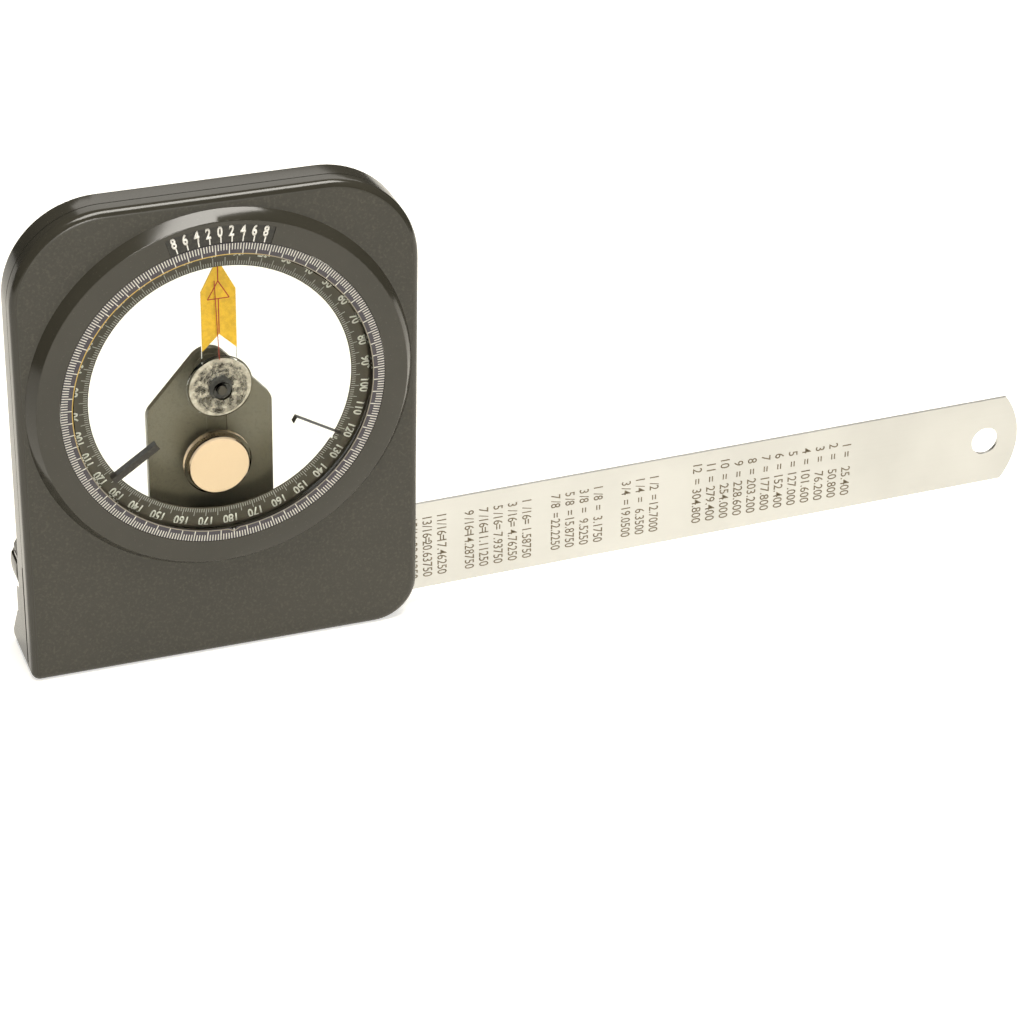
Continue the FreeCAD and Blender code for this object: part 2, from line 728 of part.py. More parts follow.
def make_pendulum_arm():
    """Clear arm: hub and pointer blade, and behind them a stem with the weight's ring."""
    weight_z = dial_height - weight_drop
    ring_back_d = weight_ring_front_d + weight_ring_grip
    hub = turned([(0, arm_front_d), (arm_hub_r, arm_front_d, arm_hub_round),
                  (arm_hub_r, arm_back_d, arm_hub_round), (0, arm_back_d)])
    blade = plate([(0, dial_height + pointer_tip_r),
                   (-pointer_half_width, dial_height + pointer_shoulder_r),
                   (-pointer_half_width, dial_height), (pointer_half_width, dial_height),
                   (pointer_half_width, dial_height + pointer_shoulder_r)],
                  arm_front_d, arm_front_d + arm_sheet_thickness)
    boss = rod(arm_boss_r, arm_front_d + arm_thickness / 2, bush_back_d)
    stem = block(-arm_stem_half_width, arm_stem_half_width, weight_ring_front_d, bush_back_d,
                 weight_z, dial_height)
    grip = rod(weight_r + weight_ring_wall, weight_ring_front_d, ring_back_d, 0, weight_z)
    shape = fuse_all(hub, [blade, boss, stem, grip])
    shape = shape.cut(rod(weight_r, weight_ring_front_d - OVERRUN, weight_back_d, 0, weight_z))
    return shape.cut(rod(bush_r, arm_front_d - OVERRUN, bush_back_d + OVERRUN))


def make_pointer():
    """Yellow arrow on the front of the blade."""
    return plate([(0, dial_height + pointer_tip_r),
                  (-pointer_half_width, dial_height + pointer_shoulder_r),
                  (-pointer_half_width, dial_height + pointer_tail_r),
                  (0, dial_height + pointer_notch_r),
                  (pointer_half_width, dial_height + pointer_tail_r),
                  (pointer_half_width, dial_height + pointer_shoulder_r)],
                 pointer_front_d, arm_front_d)


def make_weight():
    weight_z = dial_height - weight_drop
    return turned([(0, weight_front_d),
                   (weight_r - weight_chamfer, weight_front_d),
                   (weight_r, weight_front_d + weight_chamfer),
                   (weight_r, weight_back_d - weight_chamfer / 2),
                   (weight_r - weight_chamfer / 2, weight_back_d),
                   (0, weight_back_d)], 0, weight_z)


def make_pivot_bush():
    bore = axle_r + bush_running_gap
    return turned([(bore, bush_front_d), (bush_flange_r, bush_front_d), (bush_flange_r, arm_front_d),
                   (bush_r, arm_front_d), (bush_r, bush_back_d), (bore, bush_back_d)])


def make_ruler():
    """Steel ruler with a rounded end and a hanging hole."""
    low = ruler_middle - ruler_width / 2
    high = ruler_middle + ruler_width / 2
    shoulder = ruler_reach - ruler_end_rise
    blank = plate([(ruler_left, low, ruler_corner_r), (ruler_reach, low),
                   (ruler_reach, high), (ruler_left, high, ruler_corner_r)],
                  ruler_front_d, ruler_back_d)
    end_r = ((ruler_width / 2) ** 2 + ruler_end_rise ** 2) / (2 * ruler_end_rise)
    end_disc = rod(end_r, ruler_front_d - OVERRUN, ruler_back_d + OVERRUN, ruler_reach - end_r, ruler_middle)
    body = block(ruler_left - OVERRUN, shoulder, ruler_front_d - OVERRUN, ruler_back_d + OVERRUN,
                 low - OVERRUN, high + OVERRUN)
    shape = blank.common(fuse_all(body, [end_disc]))
    shape = shape.cut(rod(ruler_hole_r, ruler_front_d - OVERRUN, ruler_back_d + OVERRUN,
                          ruler_reach - ruler_hole_inset, ruler_middle))
    return on_ruler(shape)


def make_knob():
    """Fluted thumb knob with a dished back."""
    shape = turned([(0, knob_front_d), (knob_r, knob_front_d, knob_round),
                    (knob_r, knob_back_d, knob_round), (knob_dish_r, knob_back_d),
                    (knob_dish_r, knob_back_d - knob_dish_depth),
                    (knob_hub_r, knob_back_d - knob_dish_depth), (knob_hub_r, knob_back_d),
                    (0, knob_back_d)], knob_x, knob_z)
    flutes = []
    for index in range(knob_flute_count):
        turn = math.radians(knob_flute_start) + 2 * math.pi * index / knob_flute_count
        reach = knob_r + knob_flute_r - knob_flute_depth
        flutes.append(rod(knob_flute_r, knob_front_d - OVERRUN, knob_back_d + OVERRUN,
                          knob_x + reach * math.cos(turn), knob_z + reach * math.sin(turn)))
    shape = shape.cut(Part.makeCompound(flutes))
    head_seat = knob_back_d - lock_screw_head_height
    shape = shape.cut(rod(lock_screw_r, knob_front_d - OVERRUN, knob_back_d + OVERRUN, knob_x, knob_z))
    return shape.cut(rod(lock_screw_head_r, head_seat, knob_back_d + OVERRUN, knob_x, knob_z))


def make_lock_screw():
    head_seat = knob_back_d - lock_screw_head_height
    shank = rod(lock_screw_r, lock_pad_back_d, head_seat, knob_x, knob_z)
    head = rod(lock_screw_head_r, head_seat, knob_back_d, knob_x, knob_z)
    slot = block(knob_x - lock_screw_head_r - OVERRUN, knob_x + lock_screw_head_r + OVERRUN,
                 knob_back_d - lock_screw_slot, knob_back_d + OVERRUN,
                 knob_z - lock_screw_slot / 2, knob_z + lock_screw_slot / 2)
    return shank.fuse(head).removeSplitter().cut(slot)


def make_lock_nut():
    return ring(lock_nut_r, lock_screw_r + lock_screw_gap, upper_rear_d - lock_nut_length,
                upper_rear_d, knob_x, knob_z)


def make_lock_pad():
    return rod(lock_pad_r, lock_pad_front_d, lock_pad_back_d, knob_x, knob_z)


nodes = {
    "front_shell": make_front_shell,
    "rear_shell": make_rear_shell,
    "vernier_plate": make_vernier_plate,
    "retaining_ring": make_retaining_ring,
    "ring_screws": make_ring_screws,
    "friction_springs": make_friction_springs,
    "rear_window": make_rear_window,
    "rear_bracket": make_bracket,
    "bracket_screws": make_bracket_screws,
    "shell_screws": make_shell_screws,
    "pivot_axle": make_axle,
    "axle_washer": make_axle_washer,
    "axle_nut": make_axle_nut,
    "dial_wheel": make_dial_wheel,
    "outer_scale_ring": make_outer_scale_ring,
    "inner_dial_ring": make_inner_dial_ring,
    "pendulum_arm": make_pendulum_arm,
    "pointer": make_pointer,
    "brass_weight": make_weight,
    "pivot_bush": make_pivot_bush,
    "ruler": make_ruler,
    "lock_knob": make_knob,
    "lock_screw": make_lock_screw,
    "lock_nut": make_lock_nut,
    "lock_pad": make_lock_pad,
}

for name, make in nodes.items():
    shape = make()
    if not shape.isValid() or not shape.Solids:
        raise ValueError(name + " is not a valid solid")
    shape.exportStep("parts/" + name + ".step")
    box = shape.BoundBox
    print(f"{name:18s} {len(shape.Solids)} solid(s) {shape.Volume:10.1f} mm3 "
          f"x {box.XMin:.1f}..{box.XMax:.1f} y {box.YMin:.1f}..{box.YMax:.1f} z {box.ZMin:.1f}..{box.ZMax:.1f}")
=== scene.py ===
"""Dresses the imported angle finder: moulded plastics, clear parts, printed scales and a stage.

Every piece is in metres in the row frame: +X right along the ruler, +Y to the back, +Z up.
"""
import json
import math

import bmesh
import bpy
from mathutils import Matrix, Vector

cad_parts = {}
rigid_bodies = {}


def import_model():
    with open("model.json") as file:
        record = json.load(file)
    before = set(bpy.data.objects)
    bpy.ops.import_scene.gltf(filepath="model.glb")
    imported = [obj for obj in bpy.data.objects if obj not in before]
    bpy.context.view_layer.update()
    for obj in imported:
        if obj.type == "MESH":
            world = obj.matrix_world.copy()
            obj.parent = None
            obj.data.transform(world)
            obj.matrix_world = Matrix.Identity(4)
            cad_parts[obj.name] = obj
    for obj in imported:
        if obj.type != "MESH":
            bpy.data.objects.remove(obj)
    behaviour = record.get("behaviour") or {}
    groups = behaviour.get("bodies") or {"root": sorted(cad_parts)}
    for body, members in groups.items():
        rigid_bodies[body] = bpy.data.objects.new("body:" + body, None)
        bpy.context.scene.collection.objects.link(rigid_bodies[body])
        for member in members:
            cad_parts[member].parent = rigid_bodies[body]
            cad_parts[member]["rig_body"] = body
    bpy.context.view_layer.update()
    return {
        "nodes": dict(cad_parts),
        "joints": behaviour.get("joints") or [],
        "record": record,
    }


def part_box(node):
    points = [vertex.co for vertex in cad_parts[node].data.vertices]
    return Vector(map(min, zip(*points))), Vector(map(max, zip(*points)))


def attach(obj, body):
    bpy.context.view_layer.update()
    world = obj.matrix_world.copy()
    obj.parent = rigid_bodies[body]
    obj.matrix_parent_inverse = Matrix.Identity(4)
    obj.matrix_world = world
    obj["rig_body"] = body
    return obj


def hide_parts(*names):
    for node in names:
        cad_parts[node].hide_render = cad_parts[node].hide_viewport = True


bl_info = {
    "name": "Pendulum angle finder",
    "version": (1, 0, 0),
    "blender": (4, 5, 0),
    "location": "3D View > Sidebar > Angle finder",
    "description": "Finishes the packed angle finder with plastics, print and a stage",
    "category": "Object",
}

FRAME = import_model()
MM = 0.001

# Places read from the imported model
JOINTS = {joint["name"]: joint for joint in FRAME["joints"]}
DIAL_Z = JOINTS["dial_turn"]["pos_m"][2]
OUTER_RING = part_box("outer_scale_ring")
RIM_R = (OUTER_RING[1][0] - OUTER_RING[0][0]) / 2
DIAL_FRONT = OUTER_RING[0][1]
WINDOW_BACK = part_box("inner_dial_ring")[0][1]
VERNIER_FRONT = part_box("vernier_plate")[0][1]
HUB_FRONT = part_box("pendulum_arm")[0][1]
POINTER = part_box("pointer")
RULER_FRONT, RULER_BACK = (corner[1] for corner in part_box("ruler"))
RULER_AXIS = Vector(JOINTS["ruler_slide"]["axis"])
RULER_TILT = math.atan2(RULER_AXIS.z, RULER_AXIS.x)
HOLE = next(m for m in FRAME["record"]["mounts"] if m["name"] == "ruler_hanging_hole")["pos_m"]
RULER_MIDDLE = HOLE[2] - HOLE[0] * math.tan(RULER_TILT)


def length(name, millimetres, description):
    """A size that a user may change, given in millimetres and kept in metres."""
    return bpy.props.FloatProperty(name=name, default=millimetres * MM, description=description,
                                   unit="LENGTH", precision=5)


def angle(name, degrees, description):
    return bpy.props.FloatProperty(name=name, default=math.radians(degrees), description=description,
                                   subtype="ANGLE")


def amount(name, default, description):
    return bpy.props.FloatProperty(name=name, default=default, min=0.0, description=description)


def colour(name, default, description):
    return bpy.props.FloatVectorProperty(name=name, default=default, description=description,
                                         subtype="COLOR", size=3, min=0.0, max=1.0)


class FinderScales(bpy.types.PropertyGroup):
    """Sizes of the printed scales and lines."""
    print_thickness: length("Print thickness", 0.02, "How far print stands out of its ground")
    dial_turn: angle("Dial turn", -2.1, "How the dial stands in the housing, clockwise from the front")
    outer_short_r: length("Outer short tick", 46.2, "Inner end of the one degree ticks")
    outer_long_r: length("Outer long tick", 44.8, "Inner end of the five degree ticks")
    outer_tick_width: length("Outer tick width", 0.27, "Width of a tick on the outer ring")
    outer_margin: length("Outer margin", 0.05, "From the outer ticks to the ring's rim")
    # The line along the cup's edge is a painted highlight
    edge_line_r: length("Edge line", 44.82, "Middle of the line along the cup's edge")
    edge_line_width: length("Edge line width", 0.28, "Width of the line along the cup's edge")
    notch_half: length("Notch", 1.9, "Half the width of the outer ring's notch")
    notch_depth: length("Notch depth", 0.95, "How deep the edge line goes into the notch")
    inner_tick_r: length("Inner tick start", 39.55, "Inner end of the inner ring's ticks")
    inner_short_r: length("Inner short tick", 40.75, "Outer end of the one degree ticks")
    inner_long_r: length("Inner long tick", 42.0, "Outer end of the five degree ticks")
    inner_tick_width: length("Inner tick width", 0.19, "Width of a tick on the inner ring")
    inner_number_r: length("Number radius", 43.8, "Middle of the dial's numbers")
    inner_number_height: length("Number height", 2.9, "Height of the dial's numbers")
    vernier_number_r: length("Vernier number radius", 52.0, "Middle of the vernier's numbers")
    vernier_number_height: length("Vernier number height", 3.456, "Height of the vernier's numbers")
    vernier_tick_r: length("Vernier tick start", 48.5, "Inner end of the vernier's ticks")
    vernier_tick_end: length("Vernier tick end", 50.3, "Outer end of the vernier's ticks")
    vernier_tick_width: length("Vernier tick width", 0.36, "Width of a vernier tick")
    vernier_pitch: angle("Vernier pitch", 3.75, "Angle from one vernier tick to the next")
    vernier_lean: angle("Vernier lean", -0.27, "How far the vernier's numbers stand beside their ticks")
    arrow_line_width: length("Arrow line", 0.34, "Width of the arrow's lines")
    arrow_line_start: length("Arrow line start", 0.6, "Where the arrow's line starts below its tip")
    arrow_line_end: length("Arrow line end", 23.6, "Where the arrow's line ends below its tip")
    triangle_top: length("Triangle top", 7.0, "Where the red triangle starts below the tip")
    triangle_foot: length("Triangle foot", 12.6, "Where the red triangle ends below the tip")
    triangle_half: length("Triangle half", 3.2, "Half the width of the red triangle's foot")
    hairline_width: length("Hairline", 0.26, "Width of the wheel's line")
    hairline_start_r: length("Hairline start", 9.5, "Inner end of the wheel's line")
    hairline_end_r: length("Hairline end", 35.0, "Outer end of the wheel's line")
    frosting_inner_r: length("Frosting inner", 3.75, "Inner edge of the hub's frosting")
    frosting_rim_r: length("Frosting rim", 8.1, "Where the frosting's pale rim starts")
    frosting_outer_r: length("Frosting outer", 9.3, "Outer edge of the hub's frosting")
    frosting_thickness: length("Frosting thickness", 0.015, "How far the frosting stands out")


class FinderRulerPrint(bpy.types.PropertyGroup):
    """Sizes of the ruler's table and graduations."""
    digit_height: length("Digit height", 3.0, "Height of the table's digits")
    inch_step: length("Inch step", 25.4, "Distance between the rear inch marks")
    tick_width: length("Graduation width", 0.15, "Width of a rear graduation")
    number_height: length("Rear number height", 2.2, "Height of the rear numbers")
    half_width: length("Half width", 15.0, "From the ruler's centre line to its edge")
    margin: length("Margin", 0.3, "From the rear graduations to the ruler's edge")
    zero: length("Zero", -54.5, "Where the rear graduations start, from the dial's axis")


class FinderColours(bpy.types.PropertyGroup):
    """Colours of the finishes."""
    plastic: colour("Housing plastic", (0.034, 0.032, 0.024), "Moulded housing")
    plate: colour("Vernier plate", (0.010, 0.010, 0.008), "Let in vernier plate")
    outer_ring: colour("Outer ring", (0.048, 0.043, 0.060), "Printed outer ring")
    inner_ring: colour("Inner ring", (0.046, 0.040, 0.027), "Printed inner ring")
    # The bracket's black plastic is painted lighter grey, a painted reflection of the clear parts in front of
    # it
    bracket: colour("Bracket", (0.195, 0.174, 0.123), "Bracket behind the window")
    bush: colour("Bush", (0.02, 0.02, 0.018), "Pendulum's bearing")
    nylon: colour("Nylon", (0.72, 0.70, 0.62), "Lock pad")
    clear_wheel: colour("Clear wheel", (0.97, 0.975, 0.965), "Turning clear wheel")
    clear_window: colour("Clear window", (0.98, 0.985, 0.98), "Rear window")
    clear_arm: colour("Clear arm", (0.98, 0.98, 0.97), "Pendulum's arm")
    # Painted shade on the clear ribs' sides
    rib_side: colour("Rib side", (0.018, 0.016, 0.012), "Dark sides of the grip ribs")
    frosting: colour("Hub frosting", (0.62, 0.57, 0.46), "Rim of the clear hub")
    # Painted reflection of the arrow and painted highlight along the cup's edge
    edge_gold: colour("Cup edge", (0.58, 0.40, 0.10), "Edge of the clear cup near the arrow")
    edge_pale: colour("Cup edge, pale", (0.31, 0.28, 0.22), "Edge of the clear cup elsewhere")
    white_ink: colour("White ink", (0.78, 0.77, 0.70), "Ticks of the outer ring")
    dim_ink: colour("Inner ink", (0.58, 0.58, 0.50), "Numbers of the inner ring")
    vernier_ink: colour("Vernier ink", (0.95, 0.94, 0.89), "Ticks and numbers of the vernier")
    pointer: colour("Pointer", (0.65, 0.39, 0.014), "Printed arrow")
    red: colour("Red line", (0.32, 0.025, 0.008), "Lines on the pointer and the wheel")
    table_ink: colour("Table ink", (0.19, 0.155, 0.10), "Ruler's printed table")
    brass: colour("Brass", (0.69, 0.54, 0.38), "Weight and lock nut")
    ruler_steel: colour("Ruler steel", (0.63, 0.63, 0.61), "Ruler")
    zinc: colour("Zinc plate", (0.55, 0.55, 0.54), "Screws, nut and washer")
    axle: colour("Axle steel", (0.09, 0.085, 0.07), "Turned axle")
    springs: colour("Spring steel", (0.42, 0.43, 0.45), "Friction springs")


class FinderStage(bpy.types.PropertyGroup):
    """Camera, floor and lamps."""
    camera_place: bpy.props.FloatVectorProperty(name="Camera", default=(-0.2194, -0.8304, 0.5501),
                                                subtype="TRANSLATION", description="Where the camera stands")
    camera_yaw: angle("Yaw", -20.74, "Camera's place round the object from the front")
    camera_elevation: angle("Elevation", 30.67, "How far the camera looks down")
    camera_roll: angle("Roll", 1.40, "How far the camera leans")
    lens: amount("Lens", 117.08, "Focal length in millimetres")
    floor_colour: colour("Floor", (0.90, 0.87, 0.79), "Table top")
    lamp_colour: colour("Lamps", (1.0, 0.965, 0.90), "Light of every lamp")
    room_colour: colour("Room", (0.95, 0.92, 0.85), "Light of the room around")
    overhead_power: amount("Overhead", 15.0, "Overhead lamp, watts")
    front_power: amount("Front", 8.0, "Front lamp, watts")
    rear_power: amount("Rear", 3.0, "Rear lamp, watts")


# Meshes

def remembered(make):
    """Makes a thing once for the same values and gives it again afterwards."""
    made = {}

    def recall(*values):
        if values not in made:
            made[values] = make(*values)
        return made[values]

    return recall


def in_scene(name, data):
    """An object at the origin of the scene."""
    held = bpy.data.objects.new(name, data)
    bpy.context.scene.collection.objects.link(held)
    return held


def finished_mesh(work, name):
    """A mesh from a working mesh, which is freed."""
    mesh = bpy.data.meshes.new(name)
    work.to_mesh(mesh)
    work.free()
    return mesh


def applied(held):
    """The evaluated mesh of an object, which is removed."""
    bpy.context.view_layer.update()
    mesh = bpy.data.meshes.new_from_object(held.evaluated_get(bpy.context.evaluated_depsgraph_get()))
    bpy.data.objects.remove(held)
    return mesh


def new_piece(name, mesh, body, slot, *materials):
    """A piece that rides on a body and takes the given materials. The slot is not used."""
    piece = in_scene(name, mesh)
    mesh.materials.clear()
    for material in materials:
        mesh.materials.append(material)
    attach(piece, body)
    return piece


def smooth_copy(node, name, material, shift=0.0, crease=math.radians(28)):
    """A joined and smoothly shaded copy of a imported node, which it replaces."""
    source = FRAME["nodes"][node]
    mesh = source.data.copy()
    mesh.transform(source.matrix_world)
    work = bmesh.new()
    work.from_mesh(mesh)
    bmesh.ops.remove_doubles(work, verts=work.verts, dist=0.002 * MM)
    if shift:
        bmesh.ops.translate(work, verts=work.verts, vec=(0, shift, 0))
    for face in work.faces:
        face.smooth = True
    for edge in work.edges:
        edge.smooth = len(edge.link_faces) == 2 and edge.calc_face_angle(math.pi) < crease
    work.to_mesh(mesh)
    work.free()
    mesh.name = name
    piece = new_piece(name, mesh, source["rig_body"], slot_of(node), material)
    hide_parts(node)
    return piece


def slot_of(node):
    """The record's material slot of a node."""
    return next(part["material_slot"] for part in FRAME["record"]["subparts"] if part["node"] == node)


def paint(node, material):
    """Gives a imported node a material, with its shape as it is."""
    mesh = FRAME["nodes"][node].data
    mesh.materials.clear()
    mesh.materials.append(material)


def round_axis(turn, radius, front):
    """A point on a circle round the dial's axis, at an angle from the top, clockwise."""
    return Vector((radius * math.sin(turn), front, DIAL_Z + radius * math.cos(turn)))


def on_dial(turn, radius, front):
    """Place of something upright on the dial, turned with its angle."""
    upright = Matrix.Rotation(turn, 4, "Y") @ Matrix.Rotation(math.pi / 2, 4, "X")
    return Matrix.Translation(round_axis(turn, radius, front)) @ upright


def on_ruler(along, depth, across):
    """Place on the tilted ruler, from the dial's axis and the ruler's centre line."""
    lean = Matrix.Translation((0, 0, RULER_MIDDLE)) @ Matrix.Rotation(-RULER_TILT, 4, "Y")
    return lean @ Matrix.Translation((along, depth, across))


def text_mesh(text, weight):
    """Flat text in the built-in font at size 1, with its strokes widened by a weight."""
    curve = bpy.data.curves.new("glyphs", "FONT")
    curve.body = text
    curve.align_x = "CENTER"
    curve.resolution_u = 3
    curve.offset = weight
    mesh = applied(in_scene("glyphs", curve))
    bpy.data.curves.remove(curve)
    return mesh


@remembered
def digit_span(weight):
    """Height of the figure 1 at size 1."""
    heights = [v.co.y for v in text_mesh("1", weight).vertices]
    return max(heights) - min(heights)


@remembered
def glyph_mesh(text, height, thickness, narrowness, weight):
    """Raised text in its own plane, centred, with figures of a given height, and its width."""
    mesh = text_mesh(text, weight)
    left = min(v.co.x for v in mesh.vertices)
    right = max(v.co.x for v in mesh.vertices)
    span = digit_span(weight)
    scale = height / span
    middle = Vector(((left + right) / 2, span / 2 - weight, 0))
    mesh.transform(Matrix.Diagonal((scale * narrowness, scale, 1, 1)) @ Matrix.Translation(-middle))
    work = bmesh.new()
    work.from_mesh(mesh)
    bmesh.ops.remove_doubles(work, verts=work.verts, dist=height * 0.0005)
    raised = bmesh.ops.extrude_face_region(work, geom=work.faces[:])["geom"]
    bmesh.ops.translate(work, verts=[g for g in raised if isinstance(g, bmesh.types.BMVert)],
                        vec=(0, 0, thickness))
    bmesh.ops.recalc_face_normals(work, faces=work.faces)
    return finished_mesh(work, text), (right - left) * scale * narrowness


def printed_text(name, entries, height, thickness, narrowness, weight=0.0):
    """One mesh of several texts. An entry is text, place and side: -1 left, 0 centre, 1 right."""
    work = bmesh.new()
    for text, place, side in entries:
        glyphs, width = glyph_mesh(text, height, thickness, narrowness, weight)
        part = glyphs.copy()
        part.transform(place @ Matrix.Translation((-side * width / 2, 0, 0)))
        work.from_mesh(part)
        bpy.data.meshes.remove(part)
    return finished_mesh(work, name)


def washer(name, inner, outer, front, thickness, sides=240):
    """A thin flat ring round the dial's axis, standing out to the front."""
    work = bmesh.new()
    loops = []
    for radius, y in ((inner, front), (outer, front), (outer, front - thickness), (inner, front - thickness)):
        loops.append([work.verts.new(round_axis(2 * math.pi * k / sides, radius, y)) for k in range(sides)])
    for first, second in zip(loops, loops[1:] + loops[:1]):
        for k in range(sides):
            after = (k + 1) % sides
            work.faces.new((first[k], second[k], second[after], first[after]))
    bmesh.ops.recalc_face_normals(work, faces=work.faces)
    return finished_mesh(work, name)


def printed_lines(name, pairs, width, thickness):
    """Thin bars between pairs of points of a plane across Y, standing out to the front."""
    work = bmesh.new()
    front = Vector((0, -thickness, 0))
    for start, end in pairs:
        along = (end - start).normalized()
        side = Vector((-along.z, 0, along.x)) * width / 2
        corners = [start - side, start + side, end + side, end - side]
        verts = [work.verts.new(c) for c in corners] + [work.verts.new(c + front) for c in corners]
        for face in ((3, 2, 1, 0), (4, 5, 6, 7), (0, 1, 5, 4), (1, 2, 6, 5), (2, 3, 7, 6), (3, 0, 4, 7)):
            work.faces.new([verts[i] for i in face])
    return finished_mesh(work, name)


def joined(name, meshes):
    """Several meshes as one."""
    work = bmesh.new()
    for mesh in meshes:
        work.from_mesh(mesh)
    return finished_mesh(work, name)


# Geometry Nodes

class TreeMaker:
    """Short words for building a node tree."""

    def __init__(self, tree):
        self.tree = tree

    def add(self, kind, **settings):
        node = self.tree.nodes.new(kind)
        for key, value in settings.items():
            setattr(node, key, value)
        return node

    def link(self, out, into):
        self.tree.links.new(out, into)

    def feed(self, socket, value):
        if isinstance(value, bpy.types.NodeSocket):
            self.link(value, socket)
        else:
            socket.default_value = value

    def math(self, operation, *values):
        node = self.add("ShaderNodeMath", operation=operation)
        for socket, value in zip(node.inputs, values):
            self.feed(socket, value)
        return node.outputs[0]

    def xyz(self, x=0.0, y=0.0, z=0.0):
        node = self.add("ShaderNodeCombineXYZ")
        for socket, value in zip(node.inputs, (x, y, z)):
            self.feed(socket, value)
        return node.outputs[0]

    def mixed(self, factor, first, second):
        """One shader or the other."""
        node = self.add("ShaderNodeMixShader")
        for socket, value in zip(node.inputs, (factor, first, second)):
            self.link(value, socket)
        return node.outputs[0]

    def place(self):
        """Where a point lies on the object, in the row frame."""
        return self.add("ShaderNodeTexCoord").outputs["Object"]

    def parts(self, vector):
        node = self.add("ShaderNodeSeparateXYZ")
        self.link(vector, node.inputs[0])
        return node.outputs


def new_geometry_tree(name, *sizes):
    """A tree with a count, named sizes and a material, as its maker, inputs and output node."""
    tree = bpy.data.node_groups.new(name, "GeometryNodeTree")
    kinds = {"Geometry": "Geometry", "Count": "Int", "Material": "Material", **dict.fromkeys(sizes, "Float")}
    for label, kind in kinds.items():
        tree.interface.new_socket(label, in_out="INPUT", socket_type="NodeSocket" + kind)
    tree.interface.new_socket("Geometry", in_out="OUTPUT", socket_type="NodeSocketGeometry")
    maker = TreeMaker(tree)
    return maker, maker.add("NodeGroupInput").outputs, maker.add("NodeGroupOutput")


def spread_bars(maker, given, place, size):
    """The node that sets one bar at each of the counted places."""
    points = maker.add("GeometryNodePoints")
    maker.link(given["Count"], points.inputs["Count"])
    maker.link(place, points.inputs["Position"])
    bar = maker.add("GeometryNodeMeshCube")
    maker.link(size, bar.inputs["Size"])
    spread = maker.add("GeometryNodeInstanceOnPoints")
    maker.link(points.outputs[0], spread.inputs["Points"])
    maker.link(bar.outputs["Mesh"], spread.inputs["Instance"])
    return spread


@remembered
def dial_tick_tree():
    """Ticks round the dial: bars at equal angles, each along its own radius."""
    maker, given, out = new_geometry_tree("Dial ticks", "Start", "Step", "Inner radius", "Outer radius",
                                          "Width", "Thickness", "Front", "Centre height")
    index = maker.add("GeometryNodeInputIndex").outputs[0]
    inner, outer = given["Inner radius"], given["Outer radius"]
    turn = maker.math("MULTIPLY_ADD", index, given["Step"], given["Start"])
    radius = maker.math("MULTIPLY", maker.math("ADD", inner, outer), 0.5)
    height = maker.math("MULTIPLY_ADD", maker.math("COSINE", turn), radius, given["Centre height"])
    place = maker.xyz(maker.math("MULTIPLY", maker.math("SINE", turn), radius), given["Front"], height)
    size = maker.xyz(given["Width"], given["Thickness"], maker.math("SUBTRACT", outer, inner))
    spread = spread_bars(maker, given, place, size)
    maker.link(maker.xyz(0.0, turn, 0.0), spread.inputs["Rotation"])
    return finish_tree(maker, spread.outputs[0], given, out)


@remembered
def graduation_tree():
    """Marks along the ruler: bars at equal steps from one edge."""
    maker, given, out = new_geometry_tree("Ruler graduations", "Start", "Step", "Edge", "Length", "Width",
                                          "Thickness", "Front", "Tilt", "Middle")
    index = maker.add("GeometryNodeInputIndex").outputs[0]
    along = maker.math("MULTIPLY_ADD", index, given["Step"], given["Start"])
    across = maker.math("MULTIPLY_ADD", given["Length"], 0.5, given["Edge"])
    size = maker.xyz(given["Width"], given["Thickness"], given["Length"])
    spread = spread_bars(maker, given, maker.xyz(along, given["Front"], across), size)
    lean = maker.add("GeometryNodeTransform")
    maker.link(spread.outputs[0], lean.inputs["Geometry"])
    maker.link(maker.xyz(0.0, 0.0, given["Middle"]), lean.inputs["Translation"])
    maker.link(maker.xyz(0.0, maker.math("MULTIPLY", given["Tilt"], -1.0), 0.0), lean.inputs["Rotation"])
    return finish_tree(maker, lean.outputs[0], given, out)


def finish_tree(maker, geometry, given, out):
    """Realizes the instances and sets the material."""
    real = maker.add("GeometryNodeRealizeInstances")
    maker.link(geometry, real.inputs[0])
    painted = maker.add("GeometryNodeSetMaterial")
    maker.link(real.outputs[0], painted.inputs["Geometry"])
    maker.link(given["Material"], painted.inputs["Material"])
    maker.link(painted.outputs[0], out.inputs[0])
    return maker.tree


def grown(name, tree, values):
    """The mesh that a Geometry Nodes tree makes with these named inputs."""
    holder = in_scene(name, bpy.data.meshes.new(name))
    modifier = holder.modifiers.new(name, "NODES")
    modifier.node_group = tree
    sockets = {item.name: item.identifier for item in tree.interface.items_tree if item.in_out == "INPUT"}
    for label, value in values.items():
        modifier[sockets[label]] = value
    return applied(holder)


def degree_ticks(name, scales, width, front, material, steps):
    """Ticks round the dial. A step is its degrees, inner radius and outer radius."""
    shared = {"Start": scales.dial_turn, "Width": width, "Thickness": scales.print_thickness,
              "Front": front, "Centre height": DIAL_Z, "Material": material}
    return joined(name, [grown(name, dial_tick_tree(), {
        **shared, "Count": 360 // degrees, "Step": math.radians(degrees),
        "Inner radius": inner, "Outer radius": outer}) for degrees, inner, outer in steps])


# Materials

# What a shader group puts out: its kind and the shader's input that takes it
SKIN = {"Colour": ("Color", "Base Color"), "Roughness": ("Float", "Roughness"),
        "Normal": ("Vector", "Normal")}


def new_shader_group(name, outputs=tuple(SKIN), **inputs):
    """A group whose inputs are numbers, vectors or colours, as their defaults are."""
    tree = bpy.data.node_groups.new(name, "ShaderNodeTree")
    for label, default in inputs.items():
        kind = "Float" if isinstance(default, float) else {3: "Vector", 4: "Color"}[len(default)]
        tree.interface.new_socket(spaced(label), in_out="INPUT",
                                  socket_type="NodeSocket" + kind).default_value = default
    for label in outputs:
        tree.interface.new_socket(label, in_out="OUTPUT", socket_type="NodeSocket" + SKIN[label][0])
    maker = TreeMaker(tree)
    return maker, maker.add("NodeGroupInput").outputs, maker.add("NodeGroupOutput").inputs


